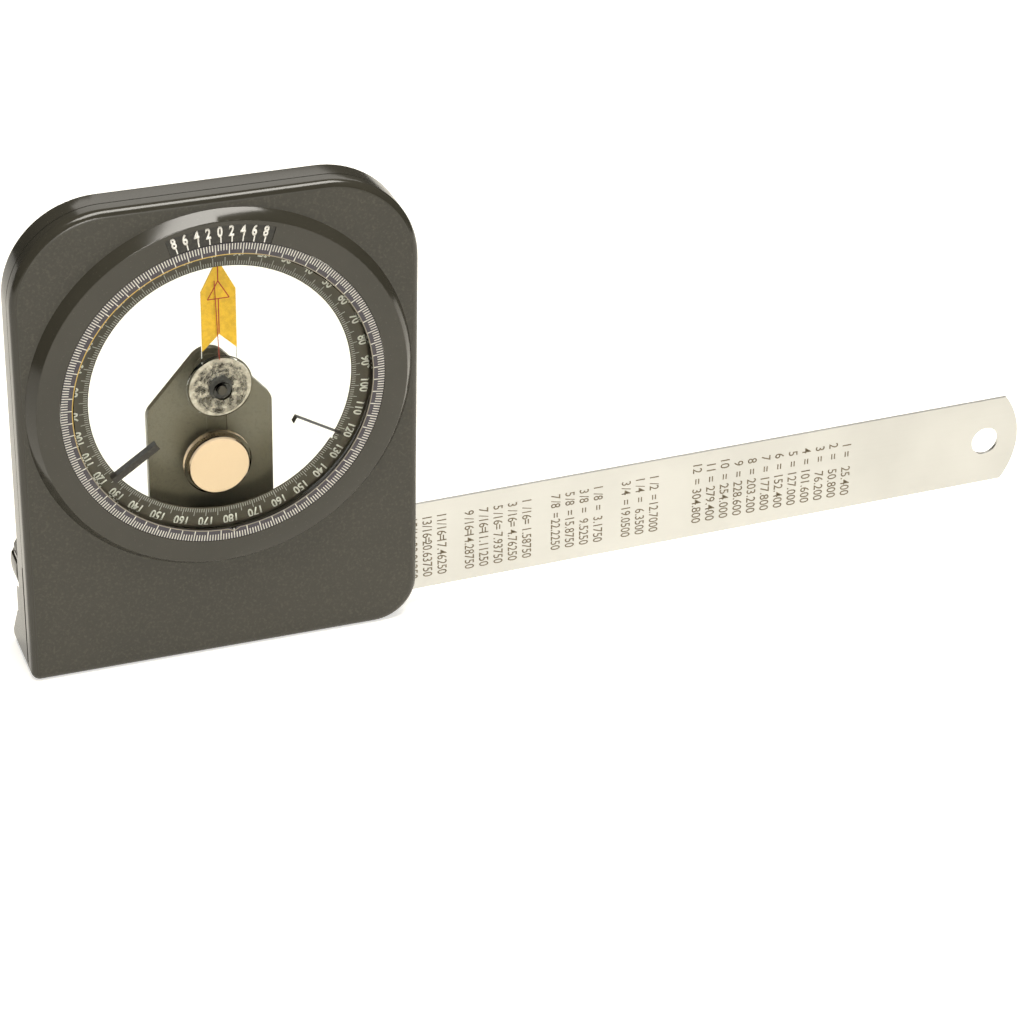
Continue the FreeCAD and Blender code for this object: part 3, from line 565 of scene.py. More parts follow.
def spaced(label):
    """A socket's name, from a word with underscores."""
    return label.replace("_", " ")


def settle(node, values):
    """Sets a node's own inputs."""
    for label, value in values.items():
        node.inputs[spaced(label)].default_value = value


def noise(maker, place, scale, detail=2.0, roughness=0.5):
    node = maker.add("ShaderNodeTexNoise")
    maker.link(place, node.inputs["Vector"])
    maker.feed(node.inputs["Scale"], scale)
    node.inputs["Detail"].default_value = detail
    node.inputs["Roughness"].default_value = roughness
    return node.outputs["Fac"]


def blended(maker, factor, first, second):
    node = maker.add("ShaderNodeMix", data_type="RGBA")
    maker.feed(node.inputs[0], factor)
    maker.feed(node.inputs[6], first)
    maker.feed(node.inputs[7], second)
    return node.outputs[2]


def ranged(maker, value, low, high, to_low=0.0, to_high=1.0):
    node = maker.add("ShaderNodeMapRange")
    for socket, level in zip(node.inputs, (value, low, high, to_low, to_high)):
        maker.feed(socket, level)
    return node.outputs[0]


def bumped(maker, height, strength, distance):
    node = maker.add("ShaderNodeBump")
    maker.link(height, node.inputs["Height"])
    maker.feed(node.inputs["Strength"], strength)
    maker.feed(node.inputs["Distance"], distance)
    return node.outputs["Normal"]


def from_axis(maker, parts, height):
    """Distance from the dial's axis, and angle from the top of the dial."""
    rise = maker.math("SUBTRACT", parts["Z"], height)
    squares = maker.math("MULTIPLY_ADD", rise, rise, maker.math("MULTIPLY", parts["X"], parts["X"]))
    return maker.math("SQRT", squares), maker.math("ARCTAN2", parts["X"], rise)


@remembered
def moulded_skin():
    """Black plastic: spark eroded grain on the flat faces, gloss on edges and sides, a little dust."""
    maker, given, out = new_shader_group(
        "Moulded skin", Colour=(0.05, 0.05, 0.04, 1), Grain_scale=2600.0, Grain_depth=0.00002,
        Grain_start=0.0, Roughness=0.4, Gloss_roughness=0.15, Dust=0.3, Turned_radius=0.0, Axis_height=0.0)
    source = maker.add("ShaderNodeTexCoord").outputs
    place = source["Object"]
    depth = maker.parts(place)
    radius, turn = from_axis(maker, depth, given["Axis height"])
    flat = ranged(maker, maker.math("ABSOLUTE", maker.parts(source["Normal"])["Y"]), 0.93, 0.99)
    behind_bezel = maker.math("GREATER_THAN", depth["Y"], given["Grain start"])
    grained = maker.math("MULTIPLY", flat, behind_bezel)
    grain = noise(maker, place, given["Grain scale"], 1.0)
    cloud = noise(maker, place, 45.0, 3.0)
    specks = noise(maker, place, 1900.0, 0.0)
    pebble = maker.math("MULTIPLY", noise(maker, place, 1100.0, 2.0, 0.7), grained)
    rings = maker.xyz(maker.math("MULTIPLY", radius, 1500.0), maker.math("MULTIPLY", turn, 9.0))
    lines = noise(maker, rings, 1.0, 3.0, 0.65)
    turned = maker.math("MULTIPLY", maker.math("LESS_THAN", radius, given["Turned radius"]),
                        maker.math("SUBTRACT", 1.0, flat))
    dust = maker.math("MULTIPLY", ranged(maker, specks, 0.76, 0.82), given["Dust"])
    cloudy = ranged(maker, cloud, 0.35, 0.65, 0.0, 0.08)
    toned = blended(maker, cloudy, given["Colour"], (0.10, 0.09, 0.07, 1))
    speckled = ranged(maker, pebble, 0.5, 0.72, 0.0, 0.35)
    toned = blended(maker, speckled, toned, (0.10, 0.095, 0.07, 1))
    maker.link(blended(maker, dust, toned, (0.30, 0.28, 0.22, 1)), out["Colour"])
    rough = maker.math("SUBTRACT", given["Roughness"], given["Gloss roughness"])
    finish = maker.math("MULTIPLY_ADD", rough, grained, given["Gloss roughness"])
    uneven = maker.math("SUBTRACT", cloud, 0.5)
    maker.link(maker.math("MULTIPLY_ADD", uneven, 0.10, finish), out["Roughness"])
    relief = maker.math("MULTIPLY_ADD", maker.math("MULTIPLY", lines, turned), 0.15,
                        maker.math("MULTIPLY", grain, grained))
    maker.link(bumped(maker, relief, 0.8, given["Grain depth"]), out["Normal"])
    return maker.tree


@remembered
def rubbed_metal():
    """Metal with fine lines along one axis or rings round one, and small smudges."""
    maker, given, out = new_shader_group(
        "Rubbed metal", Colour=(0.6, 0.6, 0.6, 1), Lines=(8.0, 900.0, 900.0), Line_depth=0.000004,
        Roughness=0.3, Smudge=0.3)
    place = maker.place()
    stretched = maker.add("ShaderNodeVectorMath", operation="MULTIPLY")
    maker.link(place, stretched.inputs[0])
    maker.link(given["Lines"], stretched.inputs[1])
    lines = noise(maker, stretched.outputs[0], 1.0, 3.0, 0.6)
    smudge = noise(maker, place, 38.0, 4.0)
    mottle = ranged(maker, smudge, 0.35, 0.7)
    darker = maker.add("ShaderNodeVectorMath", operation="SCALE")
    maker.link(given["Colour"], darker.inputs[0])
    settle(darker, {"Scale": 0.82})
    smudged = maker.math("MULTIPLY", mottle, given["Smudge"])
    maker.link(blended(maker, smudged, given["Colour"], darker.outputs[0]), out["Colour"])
    worn = maker.math("MULTIPLY_ADD", lines, 0.14, maker.math("SUBTRACT", given["Roughness"], 0.07))
    maker.link(maker.math("MULTIPLY_ADD", smudged, 0.12, worn), out["Roughness"])
    maker.link(bumped(maker, lines, 0.6, given["Line depth"]), out["Normal"])
    return maker.tree


@remembered
def clear_skin():
    """Clear plastic: faint smudges, and a frosted, pitted hub round the dial's axis."""
    maker, given, out = new_shader_group(
        "Clear skin", ("Roughness", "Normal"), Axis_height=0.088, Frost_start=0.003, Frost_end=0.0,
        Frost=0.3, Smudge=0.02)
    place = maker.place()
    radius = from_axis(maker, maker.parts(place), given["Axis height"])[0]
    inside = maker.math("MULTIPLY", maker.math("GREATER_THAN", radius, given["Frost start"]),
                        maker.math("LESS_THAN", radius, given["Frost end"]))
    pits = noise(maker, place, 900.0, 2.0, 0.6)
    frost = maker.math("MULTIPLY", inside, given["Frost"])
    smear = noise(maker, place, 60.0, 3.0)
    soft = maker.math("MULTIPLY", ranged(maker, smear, 0.55, 0.8), given["Smudge"])
    pitted = maker.math("MULTIPLY", frost, maker.math("ADD", pits, 0.2))
    maker.link(maker.math("ADD", soft, pitted), out["Roughness"])
    maker.link(bumped(maker, maker.math("MULTIPLY", pits, inside), 0.9, 0.0003), out["Normal"])
    return maker.tree


def new_material(name, **values):
    """A material, its maker and its shader, whose own inputs get these values."""
    material = bpy.data.materials.new(name)
    material.use_nodes = True
    shader = material.node_tree.nodes["Principled BSDF"]
    settle(shader, values)
    return material, TreeMaker(material.node_tree), shader


def wear(maker, shader, group, **values):
    """Places a group with these values and links what it puts out to the shader."""
    skin = maker.add("ShaderNodeGroup", node_tree=group)
    settle(skin, values)
    for output in skin.outputs:
        maker.link(output, shader.inputs[SKIN[output.name][1]])
    return skin.outputs


def shade(tint, strength=1.0):
    """An opaque colour, or a share of it."""
    return (*(part * strength for part in tint), 1.0)


def plastic(name, tint, roughness=0.4, gloss=0.15, grain_scale=2600.0, grain_depth=0.00002,
            grain_start=-1.0, dust=0.05, turned_radius=0.0):
    material, maker, shader = new_material(name)
    wear(maker, shader, moulded_skin(), Colour=shade(tint), Grain_scale=grain_scale,
         Grain_depth=grain_depth, Grain_start=grain_start, Roughness=roughness, Gloss_roughness=gloss,
         Dust=dust, Turned_radius=turned_radius, Axis_height=DIAL_Z)
    return material


def metal(name, tint, roughness=0.3, lines=(8.0, 900.0, 900.0), depth=0.000004, smudge=0.3):
    material, maker, shader = new_material(name, Metallic=1.0)
    wear(maker, shader, rubbed_metal(), Colour=shade(tint), Lines=lines, Line_depth=depth,
         Roughness=roughness, Smudge=smudge)
    return material


def clear(name, tint, bend, frost_start=0.0, frost_end=0.0, frost=0.3, smudge=0.02):
    """Clear plastic that lets lamps through and shows no mirror image where it is looked through."""
    material, maker, shader = new_material(name, Base_Color=shade(tint), Transmission_Weight=1.0, IOR=bend,
                                           Specular_IOR_Level=0.25)
    skin = wear(maker, shader, clear_skin(), Axis_height=DIAL_Z, Frost_start=frost_start,
                Frost_end=frost_end, Frost=frost, Smudge=smudge)
    through = maker.add("ShaderNodeBsdfRefraction")
    settle(through, {"Color": shade(tint), "IOR": bend})
    for output in skin:
        maker.link(output, through.inputs[output.name])
    lamp_side = maker.add("ShaderNodeBsdfTransparent")
    settle(lamp_side, {"Color": (0.93, 0.93, 0.92, 1)})
    path = maker.add("ShaderNodeLightPath").outputs
    looked = maker.math("MAXIMUM", path["Is Camera Ray"], path["Is Transmission Ray"])
    seen = maker.mixed(looked, shader.outputs[0], through.outputs[0])
    surface = maker.mixed(path["Is Shadow Ray"], seen, lamp_side.outputs[0])
    maker.link(surface, material.node_tree.nodes["Material Output"].inputs["Surface"])
    return material


def ink(name, tint, roughness=0.5):
    """Printed ink, a little uneven."""
    material, maker, shader = new_material(name, Roughness=roughness)
    faded = ranged(maker, noise(maker, maker.place(), 700.0, 2.0), 0.4, 0.65)
    maker.link(blended(maker, faded, shade(tint), shade(tint, 0.82)), shader.inputs["Base Color"])
    return material


def edge_ink(golden, pale):
    """Painted highlight along the cup's edge: golden at the upper left, where it paints the arrow's
    reflection, and paler elsewhere.
    """
    material, maker, shader = new_material("Cup edge", Roughness=0.4)
    parts = maker.parts(maker.place())
    # The painted reflection of the arrow is strongest at the upper left
    upper_left = maker.math("SUBTRACT", parts["Z"], parts["X"])
    share = ranged(maker, upper_left, DIAL_Z + 24 * MM, DIAL_Z + 44 * MM)
    maker.link(blended(maker, share, shade(pale), shade(golden)), shader.inputs["Base Color"])
    return material


def even_film(tint, painted_light_start, painted_light_end):
    """Printed film with painted light: paler towards the cup's wall, where less light falls."""
    material, maker, shader = new_material("Inner ring film", Roughness=0.5)
    radius = from_axis(maker, maker.parts(maker.place()), DIAL_Z)[0]
    # Painted light: the film's colour rises to one and a half times towards the wall
    share = ranged(maker, radius, painted_light_start, painted_light_end)
    maker.link(blended(maker, share, shade(tint), shade(tint, 1.5)), shader.inputs["Base Color"])
    return material


def frosted_film(tint, rim_start):
    """Rubbed, blotchy surface of the clear hub, with a paler rim."""
    material, maker, shader = new_material("Frosted hub", Roughness=0.6)
    place = maker.place()
    radius = from_axis(maker, maker.parts(place), DIAL_Z)[0]
    rim = ranged(maker, radius, rim_start - 0.4 * MM, rim_start + 0.3 * MM)
    blotch = ranged(maker, noise(maker, place, 560.0, 4.0, 0.7), 0.40, 0.68)
    middle = blended(maker, blotch, (0.055, 0.045, 0.028, 1), (0.66, 0.61, 0.49, 1))
    maker.link(blended(maker, rim, middle, shade(tint)), shader.inputs["Base Color"])
    patchy = maker.math("MULTIPLY_ADD", blotch, 0.3, 0.6)
    cover = maker.math("MAXIMUM", maker.math("MULTIPLY", rim, 0.6), patchy)
    fading = ranged(maker, noise(maker, place, 420.0, 3.0, 0.6), 0.3, 0.55, 0.45, 1.0)
    maker.link(maker.math("MULTIPLY", cover, fading), shader.inputs["Alpha"])
    return material


# Operators

# Where the housing's grain starts behind the dial's front, and how far its turned bezel reaches
GRAIN_START = DIAL_FRONT + 2.0 * MM
BEZEL_R = RIM_R + 9.6 * MM
# The wheel's cup and its ribs, as radii from the axis and as a depth before the window
CUP_WALL_R = 42.5 * MM
RIB_START_R = 15 * MM
RIB_END_R = 41.5 * MM
RIB_RISE = 1.75 * MM


class FINDER_OT_housing(bpy.types.Operator):
    """Finish the housing, its wheel retainer, the bracket, the knob and the lock pad"""
    bl_idname = "finder.housing"
    bl_label = "Housing"

    def execute(self, context):
        tints = context.scene.finder_colours
        skin = plastic("Housing plastic", tints.plastic, roughness=0.42, gloss=0.15,
                       grain_start=GRAIN_START, turned_radius=BEZEL_R)
        knob = plastic("Knob plastic", tints.plastic, roughness=0.34, gloss=0.2)
        # The bracket's lighter tint is a painted reflection of the clear parts in front of it
        bracket = plastic("Bracket plastic", tints.bracket, roughness=0.3, gloss=0.2, grain_scale=1800.0,
                          grain_depth=0.000012)
        nylon = plastic("Natural nylon", tints.nylon, roughness=0.5, gloss=0.4, grain_scale=900.0,
                        grain_depth=0.00001, dust=0.0)
        for node, name, material in (
                ("front_shell", "housing_front", skin), ("rear_shell", "housing_rear", skin),
                ("retaining_ring", "wheel_retainer", skin), ("lock_knob", "thumb_knob", knob),
                ("rear_bracket", "axle_bracket", bracket)):
            smooth_copy(node, name, material)
        paint("lock_pad", nylon)
        return {"FINISHED"}


class FINDER_OT_clear_parts(bpy.types.Operator):
    """Make the wheel, the rear window and the pendulum's arm clear"""
    bl_idname = "finder.clear_parts"
    bl_label = "Clear parts"

    def execute(self, context):
        tints = context.scene.finder_colours
        scales = context.scene.finder_scales
        wheel = clear("Clear wheel", tints.clear_wheel, bend=1.42, frost_start=2.8 * MM, frost_end=7.5 * MM,
                      frost=0.1, smudge=0.0)
        wall = clear("Clear wall", tints.clear_wheel, bend=1.02, smudge=0.0)
        # Painted shade: opaque dark plastic on the ribs' sides, where the clear ribs look dark
        dark = plastic("Rib sides", tints.rib_side, roughness=0.5, gloss=0.4, dust=0.0)
        cup = smooth_copy("dial_wheel", "clear_wheel", wheel, crease=math.radians(35))
        self.dress_sides(cup, dark, wall)
        smooth_copy("rear_window", "back_window", clear("Clear rear window", tints.clear_window, bend=1.2))
        smooth_copy("pendulum_arm", "clear_arm", clear("Clear arm", tints.clear_arm, bend=1.25))
        frosting = washer("hub_frosting", scales.frosting_inner_r, scales.frosting_outer_r, HUB_FRONT,
                          scales.frosting_thickness)
        new_piece("hub_frosting", frosting, "pendulum", "clear_arm",
                  frosted_film(tints.frosting, scales.frosting_rim_r))
        # The line along the cup's edge is a painted highlight, golden where it paints the arrow's reflection
        new_piece("cup_edge", self.edge_line(scales), "dial", "clear_wheel",
                  edge_ink(tints.edge_gold, tints.edge_pale))
        return {"FINISHED"}

    def edge_line(self, scales, steps=240):
        """A painted highlight line along the outer ring's inner edge and round its notch."""
        radius = scales.edge_line_r
        notch = math.pi + scales.dial_turn
        half = math.asin(scales.notch_half / radius)
        front = DIAL_FRONT + scales.print_thickness / 2
        step = (2 * math.pi - 2 * half) / steps
        points = [round_axis(notch + half + step * k, radius, front) for k in range(steps + 1)]
        points += [round_axis(notch, radius + scales.notch_depth, front), points[0]]
        return printed_lines("cup_edge", zip(points, points[1:]), scales.edge_line_width,
                             scales.print_thickness)

    def dress_sides(self, cup, dark, wall):
        """The wall's sides bend little light. The ribs' upper sides and the left rib's front get opaque dark
        plastic, painted shade where the clear ribs look dark.
        """
        cup.data.materials.append(dark)
        cup.data.materials.append(wall)
        for face in cup.data.polygons:
            x, _, z = face.center
            radius = math.hypot(x, z - DIAL_Z)
            front = min(cup.data.vertices[corner].co.y for corner in face.vertices)
            upright = abs(face.normal.y) < 0.5
            if radius > CUP_WALL_R and upright:
                face.material_index = 2
            if not RIB_START_R < radius < RIB_END_R:
                continue
            # Faces that get the painted shade
            upper_side = upright and face.normal.z > 0.2 and face.normal.x < 0.6
            left_front = face.normal.y < -0.5 and x < 0 and front < WINDOW_BACK - RIB_RISE
            if upper_side or left_front:
                face.material_index = 1
            elif upright:
                face.material_index = 2


class FINDER_OT_metalwork(bpy.types.Operator):
    """Finish the ruler, the weight, the axle and the fasteners"""
    bl_idname = "finder.metalwork"
    bl_label = "Metalwork"

    def execute(self, context):
        tints = context.scene.finder_colours
        turned = (500.0, 60.0, 500.0)
        screw = metal("Zinc plated steel", tints.zinc, roughness=0.32, lines=(500.0, 500.0, 500.0))
        for node in ("ring_screws", "bracket_screws", "shell_screws", "axle_washer", "axle_nut",
                     "lock_screw"):
            smooth_copy(node, node + "_finished", screw)
        axle = metal("Turned steel", tints.axle, roughness=0.5, lines=(600.0, 60.0, 600.0))
        polished = metal("Polished brass", tints.brass, roughness=0.16, lines=turned, depth=0.000002,
                         smudge=0.15)
        bush = plastic("Bearing plastic", tints.bush, roughness=0.35, dust=0.0)
        brass = metal("Turned brass", shade(tints.brass, 0.85)[:3], lines=turned)
        for node, name, material in (
                ("pivot_axle", "steel_axle", axle), ("brass_weight", "turned_weight", polished),
                ("pivot_bush", "plain_bush", bush), ("lock_nut", "brass_nut", brass)):
            smooth_copy(node, name, material)
        satin = metal("Satin ruler steel", tints.ruler_steel, roughness=0.42, lines=(14.0, 700.0, 1400.0),
                      depth=0.000003, smudge=0.35)
        spring = metal("Spring steel", tints.springs, roughness=0.25, lines=(900.0, 900.0, 30.0))
        paint("ruler", satin)
        paint("friction_springs", spring)
        return {"FINISHED"}


class FINDER_OT_outer_scale(bpy.types.Operator):
    """Print the degree ticks on the wheel's outer ring"""
    bl_idname = "finder.outer_scale"
    bl_label = "Outer scale"

    def execute(self, context):
        scales = context.scene.finder_scales
        tints = context.scene.finder_colours
        thickness = scales.print_thickness
        film = plastic("Outer ring film", tints.outer_ring, roughness=0.42, gloss=0.3, grain_scale=2200.0,
                       grain_depth=0.000002, dust=0.0)
        smooth_copy("outer_scale_ring", "outer_ring", film, shift=thickness)
        white = ink("White ink", tints.white_ink)
        front = DIAL_FRONT + thickness / 2
        steps = ((1, scales.outer_short_r, RIM_R - scales.outer_margin),
                 (5, scales.outer_long_r, scales.outer_short_r))
        ticks = degree_ticks("outer_ticks", scales, scales.outer_tick_width, front, white, steps)
        new_piece("outer_ticks", ticks, "dial", "outer_scale", white)
        return {"FINISHED"}


class FINDER_OT_inner_scale(bpy.types.Operator):
    """Print the degree ticks and numbers on the ring behind the window"""
    bl_idname = "finder.inner_scale"
    bl_label = "Inner scale"

    def execute(self, context):
        scales = context.scene.finder_scales
        tints = context.scene.finder_colours
        thickness = scales.print_thickness
        set_back = 2 * thickness
        ground = WINDOW_BACK + set_back
        # The film is painted lighter towards the cup's wall, against the shade that falls there
        film = even_film(tints.inner_ring, painted_light_start=41.5 * MM, painted_light_end=44.2 * MM)
        smooth_copy("inner_dial_ring", "inner_ring", film, shift=set_back)
        grey = ink("Dial tick ink", shade(tints.dim_ink, 0.6)[:3])
        front = ground - thickness / 2
        steps = ((1, scales.inner_tick_r, scales.inner_short_r),
                 (5, scales.inner_short_r, scales.inner_long_r))
        ticks = degree_ticks("inner_ticks", scales, scales.inner_tick_width, front, grey, steps)
        new_piece("inner_ticks", ticks, "dial", "inner_scale", grey)
        entries = []
        for value in range(0, 190, 10):
            label = "90°" if value == 90 else str(value)
            for side in ((1, -1) if 0 < value < 180 else (1,)):
                turn = math.radians(side * value) + scales.dial_turn
                entries.append((label, on_dial(turn, scales.inner_number_r, ground), 0))
        numbers = printed_text("dial_numbers", entries, scales.inner_number_height, thickness,
                               narrowness=0.80, weight=0.022)
        new_piece("dial_numbers", numbers, "dial", "inner_scale", ink("Dial ink", tints.dim_ink))
        return {"FINISHED"}


class FINDER_OT_vernier(bpy.types.Operator):
    """Finish the vernier plate and print its ticks and numbers"""
    bl_idname = "finder.vernier"
    bl_label = "Vernier"

    def execute(self, context):
        scales = context.scene.finder_scales
        tints = context.scene.finder_colours
        thickness = scales.print_thickness
        plate = plastic("Vernier plate", tints.plate, roughness=0.3, gloss=0.2, grain_scale=1500.0,
                        grain_depth=0.000002, dust=0.0)
        smooth_copy("vernier_plate", "vernier_face", plate)
        white = ink("Vernier ink", tints.vernier_ink, 0.4)
        ticks = grown("vernier_ticks", dial_tick_tree(), {
            "Count": 9, "Step": scales.vernier_pitch, "Start": -4 * scales.vernier_pitch,
            "Inner radius": scales.vernier_tick_r, "Outer radius": scales.vernier_tick_end,
            "Width": scales.vernier_tick_width, "Thickness": thickness,
            "Front": VERNIER_FRONT - thickness / 2, "Centre height": DIAL_Z, "Material": white})
        new_piece("vernier_ticks", ticks, "housing", "vernier_black", white)
        entries = []
        for step in range(-4, 5):
            turn = step * scales.vernier_pitch + scales.vernier_lean
            entries.append((str(abs(2 * step)), on_dial(turn, scales.vernier_number_r, VERNIER_FRONT), 0))
        numbers = printed_text("vernier_numbers", entries, scales.vernier_number_height, thickness,
                               narrowness=0.66, weight=0.035)
        new_piece("vernier_numbers", numbers, "housing", "vernier_black", white)
        return {"FINISHED"}


class FINDER_OT_pointer(bpy.types.Operator):
    """Finish the arrow, with its red triangle and line, and the wheel's hairline"""
    bl_idname = "finder.pointer"
    bl_label = "Pointer"

    def execute(self, context):
        scales = context.scene.finder_scales
        tints = context.scene.finder_colours
        thickness = scales.print_thickness
        paint("pointer", ink("Arrow yellow", tints.pointer, 0.42))
        red = ink("Red line", tints.red)

        def on_arrow(x, below_tip):
            return Vector((x, POINTER[0][1], POINTER[1][2] - below_tip))

        top, foot = on_arrow(0, scales.triangle_top), on_arrow(0, scales.triangle_foot)
        left = on_arrow(-scales.triangle_half, scales.triangle_foot)
        right = on_arrow(scales.triangle_half, scales.triangle_foot)
        pairs = ((top, left), (left, right), (right, top), (on_arrow(0, scales.arrow_line_start), top),
                 (foot, on_arrow(0, scales.arrow_line_end)))
        arrow = printed_lines("arrow_lines", pairs, scales.arrow_line_width, thickness)
        new_piece("arrow_lines", arrow, "pendulum", "pointer_yellow", red)
        window = WINDOW_BACK + 1.5 * thickness
        ends = [round_axis(scales.dial_turn, radius, window)
                for radius in (scales.hairline_start_r, scales.hairline_end_r)]
        hairline = printed_lines("wheel_hairline", [ends], scales.hairline_width, thickness)
        new_piece("wheel_hairline", hairline, "dial", "inner_scale", red)
        return {"FINISHED"}


# Rows of the ruler's table: place along the ruler in millimetres, numerator, divisor, millimetres
WHOLE_INCHES = [(205.6 - 4.67 * n, str(n + 1), "", f"{25.4 * (n + 1):.3f}") for n in range(12)]
QUARTERS = [(139.7, "1", "/2", "12.7000"), (135.0, "1", "/4", "6.3500"), (130.3, "3", "/4", "19.0500")]
EIGHTHS = [(121.0 - 4.7 * n, str(2 * n + 1), "/8", f"{3.175 * (2 * n + 1):.4f}") for n in range(4)]
SIXTEENTHS = [(97.4 - 4.7 * n - (4.2 if n > 4 else 0), str(2 * n + 1), "/16", f"{1.5875 * (2 * n + 1):.5f}")
              for n in range(8)]
# Each group with its digits' width and its columns: divisor's end, equals sign, value's end
TABLE = [(WHOLE_INCHES, 0.91, 7.75, 4.7, -10.4), (QUARTERS, 0.81, 4.7, 2.0, -10.6),
         (EIGHTHS, 0.81, 4.7, 2.0, -10.5), (SIXTEENTHS, 0.81, 2.6, 1.7, -11.4)]
# Rear marks: how many, how many to an inch or how many millimetres apart, and their reach from the edge
INCH_MARKS = ((13, 1, 8.0), (25, 2, 6.2), (49, 4, 4.8), (193, 16, 2.8))
MILLIMETRE_MARKS = ((31, 10, 7.0), (61, 5, 5.0), (306, 1, 3.2))
# Turns that make print read downwards on the ruler's front, and upright on its back
READS_DOWN = Matrix(((0, 1, 0, 0), (0, 0, -1, 0), (-1, 0, 0, 0), (0, 0, 0, 1)))
READS_BEHIND = Matrix.Rotation(math.pi, 4, "Z") @ Matrix.Rotation(math.pi / 2, 4, "X")


class FINDER_OT_ruler_print(bpy.types.Operator):
    """Print the ruler's table on the front and its graduations on the back"""
    bl_idname = "finder.ruler_print"
    bl_label = "Ruler print"

    def execute(self, context):
        sizes = context.scene.finder_ruler
        thickness = context.scene.finder_scales.print_thickness
        dark = ink("Table ink", context.scene.finder_colours.table_ink, 0.55)
        for name, mesh in (("ruler_table", self.table(sizes, thickness)),
                           ("ruler_graduations", self.graduations(sizes, thickness, dark)),
                           ("ruler_numbers", self.numbers(sizes, thickness))):
            new_piece(name, mesh, "ruler", "ruler_steel", dark)
        return {"FINISHED"}

    def table(self, sizes, thickness):
        groups = []
        for rows, narrowness, divisor_end, equals, value_end in TABLE:
            entries = []
            for along, numerator, divisor, value in rows:
                columns = [("=", equals, 0), (value, value_end, 1)]
                if not divisor or len(numerator) > 1:
                    columns.append((numerator + divisor, divisor_end, 1))
                else:
                    columns += [(numerator, 9.4, -1), (divisor, divisor_end, 1)]
                entries += [(text, on_ruler(along * MM, RULER_FRONT, across * MM) @ READS_DOWN, side)
                            for text, across, side in columns]
            groups.append(printed_text("table_rows", entries, sizes.digit_height, thickness, narrowness,
                                       weight=0.004))
        return joined("ruler_table", groups)

    def graduations(self, sizes, thickness, dark):
        """Inch marks from the upper edge and millimetre marks from the lower one."""
        shared = {"Width": sizes.tick_width, "Thickness": thickness, "Front": RULER_BACK + thickness / 2,
                  "Tilt": RULER_TILT, "Middle": RULER_MIDDLE, "Material": dark, "Start": sizes.zero}
        edge = sizes.half_width
        rows = [(count, sizes.inch_step / parts, edge - reach * MM, reach * MM - sizes.margin)
                for count, parts, reach in INCH_MARKS]
        rows += [(count, step * MM, sizes.margin - edge, reach * MM)
                 for count, step, reach in MILLIMETRE_MARKS]
        return joined("ruler_graduations", [grown("graduations", graduation_tree(), {
            **shared, "Count": count, "Step": step, "Edge": start, "Length": reach})
            for count, step, start, reach in rows])

    def numbers(self, sizes, thickness):
        """Numbers of the inches and, below them, of the centimetres."""
        entries = []
        for last, step, across in ((12, sizes.inch_step, 4.2 * MM), (30, 10 * MM, -5.6 * MM)):
            for n in range(1, last + 1):
                place = on_ruler(sizes.zero + n * step, RULER_BACK, across) @ READS_BEHIND
                entries.append((str(n), place, 0))
        return printed_text("ruler_numbers", entries, sizes.number_height, thickness, narrowness=0.85)


